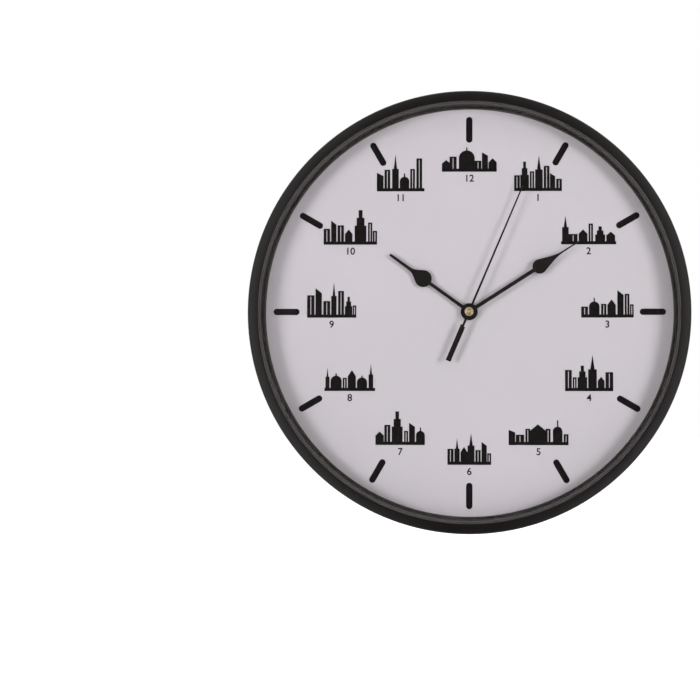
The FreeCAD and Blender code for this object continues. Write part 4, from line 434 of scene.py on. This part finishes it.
def numeral_mesh(hour):
    """The figures of an hour as a thin print, upright and centred on its place."""
    letters = bpy.data.curves.new(f"numeral_{hour}", "FONT")
    letters.body = str(hour)
    letters.size = NUMERAL_HEIGHT / BUILT_IN_CAP_SHARE
    letters.align_x = "CENTER"
    letters.extrude = INK_HEIGHT / 2
    letters.offset = NUMERAL_WEIGHT
    letters.resolution_u = 6
    carrier = bpy.data.objects.new("numeral_carrier", letters)
    bpy.context.scene.collection.objects.link(carrier)
    bpy.context.view_layer.update()
    mesh = bpy.data.meshes.new_from_object(carrier)
    bpy.data.objects.remove(carrier)
    angle = 2 * math.pi * hour / HOURS
    ground = SKYLINE_REACH_Z * math.cos(angle) - SKYLINE_DROP
    place = Vector((
        SKYLINE_REACH_X * math.sin(angle),
        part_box("dial_sheet")[0][1] - INK_HEIGHT / 2,
        ground - NUMERAL_GAP - NUMERAL_HEIGHT,
    ))
    mesh.transform(Matrix.Translation(place) @ Matrix.Rotation(math.pi / 2, 4, "X"))
    return mesh


def show(name, mesh, finish, body, smooth_angle=None):
    """Puts a new piece of the clock in the scene, on the body that it moves with."""
    mesh.name = name
    if smooth_angle is not None:
        mesh.shade_smooth()
        mesh.set_sharp_from_angle(angle=smooth_angle)
    mesh.materials.clear()
    mesh.materials.append(finish)
    piece = bpy.data.objects.new(name, mesh)
    bpy.context.scene.collection.objects.link(piece)
    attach(piece, body)
    return piece


black_ink = make_ink()
dress(["hour_marks", "skyline_prints"], black_ink)
for hour in range(1, HOURS + 1):
    show(f"numeral_{hour:02d}", numeral_mesh(hour), black_ink, "case")

# Rear cover
# One moulding of matt black plastic: a flange in the frame's back and a hollow boss that rests on the wall.
# It has the keyhole, two screw holes, four mould pits and two tongues that snap over the movement.
COVER_BLACK = (46, 45, 44)
COVER_RUBBED = (112, 108, 103)
matt_black_cover = moulded_plastic(
    "matt_black_rear_cover", COVER_BLACK, COVER_RUBBED, dust=0.06, pebbles=1500, grain_depth=0.03 * MM,
    smooth=0.36, rough=0.5, edge_radius=0.5 * MM, scratched=0.8,
)
dress(["rear_cover"], matt_black_cover)

# Screws
# Small slotted screws of nickel-plated steel: eight in the rear cover's rim, two at the motor's stator.
# Their heads are turned and show fine ridges, and the edges of the drive slot are rubbed brighter.
SCREW_NICKEL = (226, 220, 214)
SCREW_DULL = (190, 182, 174)


def make_turned_rings():
    """The fine ridges that turning leaves, in rings about the hands' axis."""
    inputs = [("Rings", 9000.0)]
    tree, given, result = effect_group("turned_rings", inputs, [("Height", "NodeSocketFloat")])
    wobble = noise(tree, object_place(tree), 300.0, 2.0)
    count = result_of(tree, "ADD", result_of(tree, "MULTIPLY", from_axis(tree), given["Rings"]), wobble)
    tree.links.new(result_of(tree, "SINE", count), result["Height"])
    return tree


turned_rings = make_turned_rings()


def bare_metal(
    name, colour, dull, *, smooth, rough, ridge_depth, ridges=9000.0, edge_radius=0.15 * MM, bare=1.0,
):
    """Bare or plated metal with fine ridges, bright edges and dull rough patches."""
    finish, tree, shader = new_finish(name)
    shader.inputs["Metallic"].default_value = bare
    wear = effect(tree, worn_edges, Radius=edge_radius, Wear=0.9)
    scratches = effect(tree, fine_scratches, Scale=120.0, Width=0.01, Amount=0.7)
    patches = ramped(tree, noise(tree, object_place(tree), 260.0, 4.0, 0.6), 0.35, 0.7)
    base = blended(tree, patches, paint(colour), paint(dull))
    base = blended(tree, wear["Mask"], base, paint([min(255, c * 1.15) for c in colour]))
    tree.links.new(base, shader.inputs["Base Color"])
    patchy = ramped(tree, patches, 0.0, 1.0, smooth, rough)
    scratched = result_of(tree, "ADD", patchy, result_of(tree, "MULTIPLY", scratches["Mask"], 0.12))
    tree.links.new(scratched, shader.inputs["Roughness"])
    turned = effect(tree, turned_rings, Rings=ridges)
    roughened(tree, shader, turned["Height"], ridge_depth, wear["Normal"])
    return finish


nickel_screw = bare_metal(
    "nickel_plated_screw", SCREW_NICKEL, SCREW_DULL, smooth=0.26, rough=0.4, ridge_depth=0.002 * MM, bare=0.5,
)
dress(["cover_screws", "stator_screws"], nickel_screw)

# Movement case
# The front half of the quartz movement, moulded in black plastic with the train's posts and the battery bay.
# Its threaded stem stands through the dial. The plate that closes the train is clear plastic.
CASE_BLACK = (40, 38, 36)
CASE_RUBBED = (92, 88, 84)
PLATE_CLEAR = (226, 221, 214)
ACRYLIC_IOR = 1.49
movement_black = moulded_plastic(
    "movement_case_black", CASE_BLACK, CASE_RUBBED, dust=0.04, pebbles=3200, grain_depth=0.012 * MM,
    smooth=0.3, rough=0.42, edge_radius=0.2 * MM, scratched=0.5,
)
dress(["movement_case"], movement_black)
clear_plastic = see_through("clear_middle_plate", PLATE_CLEAR, ACRYLIC_IOR, clean=0.02, smeared=0.06)
dress(["middle_plate"], clear_plastic)

# Wheels and arbors
# Gears and their pinions are moulded in ivory acetal, with a trace of oil that makes them glossy in places.
# The second hand's arbor is a ground steel pin.
GEAR_IVORY = (214, 202, 188)
GEAR_OILED = (196, 182, 166)
GEAR_RUBBED = (226, 217, 204)
PIN_STEEL = (186, 184, 182)
PIN_DULL = (150, 147, 144)
WHEELS = [
    "rotor_pinion", "intermediate_wheel", "seconds_wheel", "third_wheel", "centre_wheel",
    "motion_wheel", "setting_gear",
]


def make_gear_plastic():
    """Ivory acetal that lets a little light in, with oiled patches and paler teeth."""
    finish, tree, shader = new_finish("ivory_gear_plastic")
    place = object_place(tree)
    grain = effect(tree, moulded_grain, Pebbles=4000.0, Smooth=0.34, Rough=0.5)
    wear = effect(tree, worn_edges, Radius=0.08 * MM, Wear=0.8)
    oil = ramped(tree, noise(tree, place, 180.0, 3.0), 0.48, 0.66)
    base = blended(tree, oil, paint(GEAR_IVORY), paint(GEAR_OILED))
    base = blended(tree, wear["Mask"], base, paint(GEAR_RUBBED))
    tree.links.new(base, shader.inputs["Base Color"])
    glossy = result_of(tree, "SUBTRACT", grain["Roughness"], result_of(tree, "MULTIPLY", oil, 0.2))
    tree.links.new(glossy, shader.inputs["Roughness"])
    shader.inputs["Subsurface Weight"].default_value = 0.08
    shader.inputs["Subsurface Scale"].default_value = 0.4 * MM
    roughened(tree, shader, grain["Height"], 0.006 * MM, wear["Normal"])
    return finish


dress(WHEELS, make_gear_plastic())
steel_pin = bare_metal(
    "ground_steel_pin", PIN_STEEL, PIN_DULL, smooth=0.16, rough=0.3, ridge_depth=0.001 * MM,
)
dress(["seconds_arbor"], steel_pin)

# Pipes of the hands
# The hour wheel and the cannon pinion with the pipes that carry the hour and minute hands.
# They are turned brass, seen as two bright rings where the hands are pressed on.
PIPE_BRASS = (212, 178, 112)
PIPE_DULL = (176, 140, 82)
pipe_brass = bare_metal(
    "turned_pipe_brass", PIPE_BRASS, PIPE_DULL, smooth=0.2, rough=0.36, ridge_depth=0.002 * MM,
)
dress(["hour_wheel", "cannon_pinion"], pipe_brass)

# Stepping motor
# A stator stamped from soft iron, an iron core under two screws and a bobbin wound with copper wire.
# The rotor is a ring magnet of dark ferrite. The winding stands here with its turns of wire.
IRON_GREY = (150, 146, 142)
IRON_DULL = (116, 110, 104)
BOBBIN_BLACK = (36, 34, 33)
BOBBIN_RUBBED = (80, 76, 73)
MAGNET_GREY = (58, 56, 58)
MAGNET_RUBBED = (96, 93, 94)
COPPER = (196, 108, 62)
COPPER_DARK = (134, 66, 36)
WIRE_PITCH = 0.32 * MM
WIRE_POINTS = 4            # points along the half round of one turn
BOBBIN_TUBE_RADIUS = 1.92 * MM
COIL_SIDES = 48
NEAR_AXIS = 0.001 * MM     # a point of an outline that is nearer to its axis lies on it
SMOOTH_TURNS = math.radians(70)


def lathe(name, outline, centre, axis, sides):
    """A closed body of revolution from (radius, place along the axis) points, about an axis along X or Z."""
    form = bmesh.new()
    rings = []
    for radius, along in outline:
        if radius < NEAR_AXIS:
            rings.append([form.verts.new(lathe_point(centre, axis, 0.0, along, 0.0))])
            continue
        ring = []
        for side in range(sides):
            ring.append(form.verts.new(lathe_point(centre, axis, radius, along, 2 * math.pi * side / sides)))
        rings.append(ring)
    for first, second in zip(rings, rings[1:] + rings[:1]):
        if len(first) == 1 and len(second) == 1:
            continue
        for side in range(sides):
            after = (side + 1) % sides
            if len(first) == 1:
                corners = [first[0], second[after], second[side]]
            elif len(second) == 1:
                corners = [first[side], first[after], second[0]]
            else:
                corners = [first[side], first[after], second[after], second[side]]
            form.faces.new(corners)
    bmesh.ops.recalc_face_normals(form, faces=form.faces)
    mesh = bpy.data.meshes.new(name)
    form.to_mesh(mesh)
    form.free()
    return mesh


def lathe_point(centre, axis, radius, along, angle):
    """A point on a body of revolution about an axis along X or Z."""
    out, up = radius * math.cos(angle), radius * math.sin(angle)
    if axis == "X":
        return Vector((along, centre[1] + out, centre[2] + up))
    return Vector((centre[0] + out, centre[1] + up, along))


def middle_of(node):
    """The middle of a node's box."""
    low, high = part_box(node)
    return Vector([(a + b) / 2 for a, b in zip(low, high)])


def winding_outline():
    """Half-round turns of wire side by side along the coil, closed on the bobbin's tube."""
    low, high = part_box("coil_winding")
    outer = (high[0] - low[0]) / 2
    turns = int((high[2] - low[2]) / WIRE_PITCH)
    pitch = (high[2] - low[2]) / turns
    points = []
    for turn in range(turns):
        for step in range(WIRE_POINTS):
            share = step / WIRE_POINTS
            bulge = math.sin(math.pi * share) * pitch / 2
            points.append((outer - pitch / 2 + bulge, low[2] + (turn + share) * pitch))
    points.append((outer - pitch / 2, high[2]))
    points.append((BOBBIN_TUBE_RADIUS, high[2]))
    points.append((BOBBIN_TUBE_RADIUS, low[2]))
    return points


def make_copper_wire():
    """Lacquered copper wire, darker between the turns and where the lacquer is thick."""
    finish, tree, shader = new_finish("lacquered_copper_wire")
    place = object_place(tree)
    shader.inputs["Metallic"].default_value = 1.0
    lacquer = ramped(tree, noise(tree, place, 240.0, 4.0), 0.35, 0.7)
    wound = add(tree, "ShaderNodeMapping", {"Vector": place, "Scale": (0.2, 0.2, 9.0)}).outputs[0]
    strands = noise(tree, wound, 900.0)
    base = blended(tree, lacquer, paint(COPPER), paint(COPPER_DARK))
    base = blended(tree, ramped(tree, strands, 0.4, 0.7, 0.0, 0.6), base, paint(COPPER_DARK))
    tree.links.new(base, shader.inputs["Base Color"])
    tree.links.new(ramped(tree, lacquer, 0.0, 1.0, 0.24, 0.4), shader.inputs["Roughness"])
    roughened(tree, shader, strands, 0.01 * MM)
    return finish


copper_wire = make_copper_wire()
winding_mesh = lathe("wound_coil", winding_outline(), middle_of("coil_winding"), "Z", COIL_SIDES)
winding = show("wound_coil", winding_mesh, copper_wire, "case", SMOOTH_TURNS)
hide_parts("coil_winding")
dress(["coil_winding"], copper_wire)
soft_iron = bare_metal(
    "stamped_soft_iron", IRON_GREY, IRON_DULL, smooth=0.3, rough=0.48, ridge_depth=0.001 * MM,
)
dress(["stator", "coil_core"], soft_iron)
black_bobbin = moulded_plastic(
    "black_coil_bobbin", BOBBIN_BLACK, BOBBIN_RUBBED, dust=0.03, pebbles=3000, grain_depth=0.01 * MM,
    smooth=0.32, rough=0.46, edge_radius=0.1 * MM, scratched=0.3,
)
dress(["coil_bobbin"], black_bobbin)
dark_magnet = moulded_plastic(
    "dark_ferrite_magnet", MAGNET_GREY, MAGNET_RUBBED, dust=0.02, pebbles=5000, grain_depth=0.006 * MM,
    smooth=0.4, rough=0.56, edge_radius=0.1 * MM, scratched=0.2,
)
dress(["rotor_magnet"], dark_magnet)

# Electronics
# A small brown circuit board with tinned pads, a drop of black resin over the chip and the crystal's can.
# The board lies on posts of the case and the crystal is soldered on it by two leads.
BOARD_BROWN = (52, 40, 31)
TRACK_BROWN = (84, 66, 50)
WEAVE_BROWN = (38, 29, 22)
TINNED = (178, 174, 166)
RESIN_BLACK = (24, 23, 23)
RESIN_RUBBED = (54, 52, 51)
CRYSTAL_STEEL = (190, 188, 184)
CRYSTAL_DULL = (150, 147, 142)


def make_circuit_board():
    """Brown laminate with a fine weave, raised tracks and small tinned pads."""
    finish, tree, shader = new_finish("brown_circuit_board")
    place = object_place(tree)
    cells = {"Vector": place, "Scale": 380.0}
    tracks = add(tree, "ShaderNodeTexVoronoi", cells, distance="CHEBYCHEV", feature="F2").outputs["Distance"]
    lines = ramped(tree, tracks, 0.52, 0.56)
    pads = add(tree, "ShaderNodeTexVoronoi", {"Vector": place, "Scale": 260.0, "Randomness": 0.3})
    dots = result_of(tree, "LESS_THAN", pads.outputs["Distance"], 0.2)
    weave = noise(tree, place, 2500.0, 2.0)
    base = blended(tree, lines, paint(BOARD_BROWN), paint(TRACK_BROWN))
    base = blended(tree, dots, base, paint(TINNED))
    base = blended(tree, ramped(tree, weave, 0.4, 0.7, 0.0, 0.3), base, paint(WEAVE_BROWN))
    tree.links.new(base, shader.inputs["Base Color"])
    tree.links.new(ramped(tree, weave, 0.3, 0.7, 0.26, 0.42), shader.inputs["Roughness"])
    raised = result_of(tree, "ADD", lines, result_of(tree, "MULTIPLY", dots, 0.6))
    roughened(tree, shader, raised, 0.03 * MM)
    return finish


dress(["circuit_board"], make_circuit_board())
black_resin = moulded_plastic(
    "black_chip_resin", RESIN_BLACK, RESIN_RUBBED, dust=0.02, pebbles=900, grain_depth=0.03 * MM,
    smooth=0.16, rough=0.3, edge_radius=0.2 * MM, scratched=0.1,
)
dress(["chip_blob"], black_resin)
crystal_can = bare_metal(
    "drawn_steel_can", CRYSTAL_STEEL, CRYSTAL_DULL, smooth=0.2, rough=0.34, ridge_depth=0.001 * MM,
)
dress(["quartz_crystal"], crystal_can)

# Battery and its contacts
# A cell of 14.5 mm by 50.5 mm in a black printed sleeve with a plain orange band near its raised end.
# The sleeve is shrunk over the ends of the steel can. Two nickel-plated spring steel strips touch the ends.
SLEEVE_BLACK = (30, 28, 27)
SLEEVE_THICK = 0.12 * MM
SLEEVE_LAP = 1.7 * MM      # how far the sleeve is shrunk over an end
SLEEVE_ROUND = 0.6 * MM
NUB_RADIUS = 2.75 * MM
NUB_LENGTH = 1.3 * MM
NUB_ROUND = 0.35 * MM
FLAT_END_RADIUS = 5.2 * MM
FLAT_END_RISE = 0.3 * MM
BAND_ORANGE = (255, 158, 16)
BAND_FROM_TIP = 3.55 * MM  # raised end of the cell to the orange band
BAND_LENGTH = 10.9 * MM
LINE_GAP = 0.9 * MM        # band to the middle of the thin line beside it
LINE_HALF_WIDTH = 0.2 * MM
LINE_PALE = (206, 202, 196)
SLEEVE_SCRATCH = (150, 146, 140)
CAN_STEEL = (198, 196, 192)
CAN_DULL = (158, 154, 148)
CONTACT_STEEL = (186, 176, 158)
CONTACT_DULL = (146, 132, 110)
CELL_SIDES = 72
ROUND_STEPS = 5            # straight runs in a quarter round
SMOOTH_CELL = math.radians(40)


def quarter(radius, along, size, start, end):
    """Points on a quarter round about (radius, along), from one angle to the other in degrees."""
    points = []
    for step in range(ROUND_STEPS + 1):
        angle = math.radians(start + (end - start) * step / ROUND_STEPS)
        points.append((radius + size * math.cos(angle), along + size * math.sin(angle)))
    return points


def sleeve_outline(outer, start, end):
    """The sleeve's skin from the lap on one end to the lap on the other, and back along its inside."""
    lip = outer - SLEEVE_LAP
    inner = outer - SLEEVE_THICK
    inside_round = SLEEVE_ROUND - SLEEVE_THICK
    corner = outer - SLEEVE_ROUND
    return (
        [(lip, start)]
        + quarter(corner, start + SLEEVE_ROUND, SLEEVE_ROUND, -90, 0)
        + quarter(corner, end - SLEEVE_ROUND, SLEEVE_ROUND, 0, 90)
        + [(lip, end), (lip, end - SLEEVE_THICK)]
        + quarter(corner, end - SLEEVE_ROUND, inside_round, 90, 0)
        + quarter(corner, start + SLEEVE_ROUND, inside_round, 0, -90)
        + [(lip, start + SLEEVE_THICK)]
    )


def can_outline(outer, start, end, tip, foot):
    """The steel can inside the sleeve, with its raised terminal at the tip and its flat one at the foot."""
    inner = outer - SLEEVE_THICK
    corner = outer - SLEEVE_ROUND
    inside_round = SLEEVE_ROUND - SLEEVE_THICK
    face = start + SLEEVE_THICK
    return (
        [(0.0, tip)]
        + quarter(NUB_RADIUS - NUB_ROUND, tip + NUB_ROUND, NUB_ROUND, -90, 0)
        + [(NUB_RADIUS, face)]
        + quarter(corner, start + SLEEVE_ROUND, inside_round, -90, 0)
        + quarter(corner, end - SLEEVE_ROUND, inside_round, 0, 90)
        + [(FLAT_END_RADIUS, end - SLEEVE_THICK), (FLAT_END_RADIUS - NUB_ROUND, foot), (0.0, foot)]
    )


def make_sleeve_print():
    """A glossy black printed sleeve with an orange band between two thin pale lines."""
    finish, tree, shader = new_finish("battery_sleeve_print")
    place = object_place(tree)
    along = add(tree, "ShaderNodeSeparateXYZ", {0: place}).outputs["X"]
    band_start = cell_low[0] + BAND_FROM_TIP
    band_end = band_start + BAND_LENGTH
    after_start = result_of(tree, "GREATER_THAN", along, band_start)
    before_end = result_of(tree, "LESS_THAN", along, band_end)
    inside = result_of(tree, "MULTIPLY", after_start, before_end)
    base = blended(tree, inside, paint(SLEEVE_BLACK), paint(BAND_ORANGE))
    for line in (band_start - LINE_GAP, band_end + LINE_GAP):
        off = result_of(tree, "ABSOLUTE", result_of(tree, "SUBTRACT", along, line))
        base = blended(tree, result_of(tree, "LESS_THAN", off, LINE_HALF_WIDTH), base, paint(LINE_PALE))
    scratches = effect(tree, fine_scratches, Scale=60.0, Width=0.006, Amount=0.8)
    base = blended(tree, result_of(tree, "MULTIPLY", scratches["Mask"], 0.5), base, paint(SLEEVE_SCRATCH))
    tree.links.new(base, shader.inputs["Base Color"])
    shrunk = add(tree, "ShaderNodeMapping", {"Vector": place, "Scale": (6.0, 1.0, 1.0)}).outputs[0]
    wrinkle = noise(tree, shrunk, 60.0)
    tree.links.new(ramped(tree, wrinkle, 0.3, 0.7, 0.2, 0.32), shader.inputs["Roughness"])
    roughened(tree, shader, wrinkle, 0.02 * MM)
    return finish


cell_low, cell_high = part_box("battery_cell")
cell_middle = middle_of("battery_cell")
cell_radius = (cell_high[2] - cell_low[2]) / 2
sleeve_start = cell_low[0] + NUB_LENGTH
sleeve_end = cell_high[0] - FLAT_END_RISE
sleeve_mesh = lathe(
    "cell_sleeve", sleeve_outline(cell_radius, sleeve_start, sleeve_end), cell_middle, "X", CELL_SIDES,
)
sleeve = show("cell_sleeve", sleeve_mesh, make_sleeve_print(), "case", SMOOTH_CELL)
can_mesh = lathe(
    "cell_can", can_outline(cell_radius, sleeve_start, sleeve_end, cell_low[0], cell_high[0]),
    cell_middle, "X", CELL_SIDES,
)
can_steel = bare_metal(
    "battery_can_steel", CAN_STEEL, CAN_DULL, smooth=0.2, rough=0.34, ridge_depth=0.001 * MM,
)
can = show("cell_can", can_mesh, can_steel, "case", SMOOTH_CELL)
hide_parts("battery_cell")
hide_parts("battery_cell")
contact_steel = bare_metal(
    "contact_spring_steel", CONTACT_STEEL, CONTACT_DULL, smooth=0.22, rough=0.4, ridge_depth=0.001 * MM,
)
dress(["positive_contact", "negative_contact"], contact_steel)

# Smoked cover and setting knob
# The movement's back half is a clear smoked moulding with bevelled long edges, so the train shows through it.
# The knob for setting the hands is black plastic with a fluted edge, pressed on the setting arbor.
SMOKE = (196, 188, 180)
KNOB_BLACK = (38, 36, 35)
KNOB_RUBBED = (96, 92, 88)
smoked_plastic = see_through("smoked_clear_cover", SMOKE, ACRYLIC_IOR, clean=0.02, smeared=0.09)
dress(["movement_cover"], smoked_plastic)
knob_black = moulded_plastic(
    "setting_knob_black", KNOB_BLACK, KNOB_RUBBED, dust=0.03, pebbles=2600, grain_depth=0.012 * MM,
    smooth=0.3, rough=0.42, edge_radius=0.25 * MM, scratched=0.5,
)
dress(["setting_knob"], knob_black)

# Hands
# Stamped aluminium hands with a satin black coat, the hour and minute hands with a leaf before a long tip.
# Each is pressed on its pipe or arbor by the collar at its hub.
HAND_BLACK = (20, 16, 15)
HAND_PEEL = (27, 23, 21)
HAND_BARE = (88, 87, 86)


def make_hand_coat():
    """A thin satin coat on aluminium, with a fine orange peel and a little bare metal at its edges."""
    finish, tree, shader = new_finish("satin_black_hand_coat")
    place = object_place(tree)
    peel = noise(tree, place, 1400.0, 2.0)
    wear = effect(tree, worn_edges, Radius=0.1 * MM, Wear=0.35)
    base = blended(tree, ramped(tree, peel, 0.3, 0.7), paint(HAND_BLACK), paint(HAND_PEEL))
    base = blended(tree, wear["Mask"], base, paint(HAND_BARE))
    tree.links.new(base, shader.inputs["Base Color"])
    rough = ramped(tree, noise(tree, place, 60.0, 3.0), 0.3, 0.7, 0.34, 0.46)
    tree.links.new(rough, shader.inputs["Roughness"])
    shader.inputs["Specular IOR Level"].default_value = 0.25
    roughened(tree, shader, peel, 0.006 * MM, wear["Normal"])
    return finish


dress(["hour_hand", "minute_hand", "second_hand"], make_hand_coat())

# Cap of the second hand
# A small turned brass cap with a crowned front and a dimple from the lathe's centre, pressed on the arbor.
CAP_BRASS = (228, 204, 160)
CAP_DULL = (206, 176, 128)
cap_brass = bare_metal(
    "turned_cap_brass", CAP_BRASS, CAP_DULL, smooth=0.2, rough=0.3, ridge_depth=0.002 * MM,
    ridges=12000.0, edge_radius=0.3 * MM, bare=0.8,
)
dress(["second_cap"], cap_brass)

# Studio
# A plain pale floor well below the hanging clock, a white surround, and soft light from both sides and above.
# In reflections the room is dim, with bright panels at both sides and above.
FLOOR_HEIGHT = -400 * MM
FLOOR_SIZE = 8.0
FLOOR_WHITE = (240, 240, 240)
FLOOR_GLOW = 0.7           # what the floor adds for the camera, so that it is white away from the shadow
FLOOR_FAR = -0.5           # in reflections the floor is dim beyond this place and bright from the next
FLOOR_NEAR = -0.1
AMBIENT = 0.15
SIDE_OF_ROOM = 0.85        # in reflections, how bright the room is to the sides, above and just below
BACK_OF_ROOM = 0.05        # and how bright it is before and behind the clock


def side_panels(tree, direction):
    """Two upright bright panels to both sides of the clock, by the direction in which they are seen."""
    parts = add(tree, "ShaderNodeSeparateXYZ", {0: direction}).outputs
    aside = result_of(tree, "ABSOLUTE", parts["X"])
    fades_out = ramped(tree, aside, 0.85, 0.98, 1.0, 0.0)
    return result_of(tree, "MULTIPLY", ramped(tree, aside, 0.1, 0.42), fades_out)


def make_floor():
    """Pale and lit by the lamps, so that it takes the clock's shadow. In reflections most of it is dim."""
    form = bmesh.new()
    bmesh.ops.create_grid(form, x_segments=1, y_segments=1, size=FLOOR_SIZE / 2)
    mesh = bpy.data.meshes.new("studio_floor")
    form.to_mesh(mesh)
    form.free()
    mesh.transform(Matrix.Translation((0.0, 0.0, FLOOR_HEIGHT)))
    finish, tree, shader = new_finish("pale_floor")
    shader.inputs["Base Color"].default_value = paint(FLOOR_WHITE)
    shader.inputs["Roughness"].default_value = 0.9
    shader.inputs["Specular IOR Level"].default_value = 0.0
    path = add(tree, "ShaderNodeLightPath").outputs
    distance = add(tree, "ShaderNodeVectorMath", {0: object_place(tree)}, operation="LENGTH").outputs["Value"]
    spread = ramped(tree, distance, 0.5, 1.8, FLOOR_GLOW, 1.0)
    glowing = result_of(tree, "MULTIPLY", path["Is Camera Ray"], spread)
    glow = add(tree, "ShaderNodeEmission", {"Strength": glowing})
    lit = add(tree, "ShaderNodeAddShader", {0: shader.outputs[0], 1: glow.outputs[0]})
    away = add(tree, "ShaderNodeSeparateXYZ", {0: object_place(tree)}).outputs["Y"]
    seen_along = add(tree, "ShaderNodeVectorMath", {0: object_place(tree)}, operation="NORMALIZE").outputs[0]
    near = ramped(tree, away, FLOOR_FAR, FLOOR_NEAR)
    bright = result_of(tree, "MAXIMUM", near, side_panels(tree, seen_along))
    mirrored = ramped(tree, bright, 0.0, 1.0, BACK_OF_ROOM, SIDE_OF_ROOM)
    image = add(tree, "ShaderNodeEmission", {"Strength": mirrored})
    glossy = path["Is Glossy Ray"]
    both = add(tree, "ShaderNodeMixShader", {0: glossy, 1: lit.outputs[0], 2: image.outputs[0]})
    tree.links.new(both.outputs[0], tree.nodes["Material Output"].inputs["Surface"])
    mesh.materials.append(finish)
    floor = bpy.data.objects.new("studio_floor", mesh)
    bpy.context.scene.collection.objects.link(floor)


def make_surround():
    """White for the camera. In reflections a dim room with bright panels to both sides and above."""
    world = bpy.data.worlds.new("white_surround")
    world.use_nodes = True
    tree = world.node_tree
    path = add(tree, "ShaderNodeLightPath").outputs
    direction = add(tree, "ShaderNodeTexCoord").outputs["Generated"]
    above = ramped(tree, add(tree, "ShaderNodeSeparateXYZ", {0: direction}).outputs["Z"], 0.35, 0.8)
    bright = result_of(tree, "MAXIMUM", side_panels(tree, direction), above)
    mirrored = ramped(tree, bright, 0.0, 1.0, BACK_OF_ROOM, SIDE_OF_ROOM)
    unseen = add(tree, "ShaderNodeMix", {0: path["Is Glossy Ray"], 2: AMBIENT, 3: mirrored}).outputs[0]
    strength = add(tree, "ShaderNodeMix", {0: path["Is Camera Ray"], 2: unseen, 3: 1.0}).outputs[0]
    tree.links.new(strength, tree.nodes["Background"].inputs["Strength"])
    tree.nodes["Background"].inputs["Color"].default_value = (1.0, 1.0, 1.0, 1.0)
    bpy.context.scene.world = world


def softbox(name, place, width, height, power):
    """A rectangular lamp that faces the clock and isn't seen in reflections or through the glass."""
    light = bpy.data.lights.new(name, "AREA")
    light.shape = "RECTANGLE"
    light.size = width
    light.size_y = height
    light.energy = power
    lamp = bpy.data.objects.new(name, light)
    lamp.location = place
    lamp.rotation_euler = (-Vector(place)).to_track_quat("-Z", "Y").to_euler()
    lamp.visible_glossy = False
    lamp.visible_transmission = False
    bpy.context.scene.collection.objects.link(lamp)


make_floor()
make_surround()
softbox("left_softbox", (-1.05, -1.25, 0.06), 0.5, 0.5, 12.2)
softbox("right_softbox", (1.05, -1.25, 0.10), 0.5, 0.5, 13.0)
softbox("top_softbox", (0.0, -0.95, 1.00), 1.0, 0.6, 3.0)
softbox("back_left_softbox", (-0.55, 0.75, 1.15), 0.35, 0.35, 9.0)
softbox("back_right_softbox", (0.45, 0.80, 1.20), 0.35, 0.35, 9.0)

# Camera
# It stands in front of the clock, slightly below its middle and to its right, as for the front view.
# The lens shift only puts the clock at its place in the picture.
IMAGE_PIXELS = 700
CLOCK_PIXEL = (468.9, 311.0)  # where the middle of the frame's front stands in the picture
CLOCK_PIXELS_ACROSS = 444.7
CAMERA_PLACE = Vector((0.012, -0.801, -0.027))
CLOCK_FRONT = Vector((0.0, cad_bounds[0][1], 0.0))
FILM_WIDTH = 36.0


def aimed_camera():
    """A camera that looks straight at the middle of the clock's front, at the photograph's scale."""
    view = CLOCK_FRONT - CAMERA_PLACE
    across = cad_bounds[1][0] - cad_bounds[0][0]
    lens = bpy.data.cameras.new("camera")
    lens.sensor_width = FILM_WIDTH
    lens.lens = FILM_WIDTH * CLOCK_PIXELS_ACROSS / IMAGE_PIXELS * view.length / across
    lens.shift_x = 0.5 - CLOCK_PIXEL[0] / IMAGE_PIXELS
    lens.shift_y = CLOCK_PIXEL[1] / IMAGE_PIXELS - 0.5
    camera = bpy.data.objects.new("camera", lens)
    camera.location = CAMERA_PLACE
    camera.rotation_euler = view.to_track_quat("-Z", "Y").to_euler()
    bpy.context.scene.collection.objects.link(camera)
    bpy.context.scene.camera = camera


aimed_camera()
bpy.context.scene.view_settings.view_transform = "Standard"
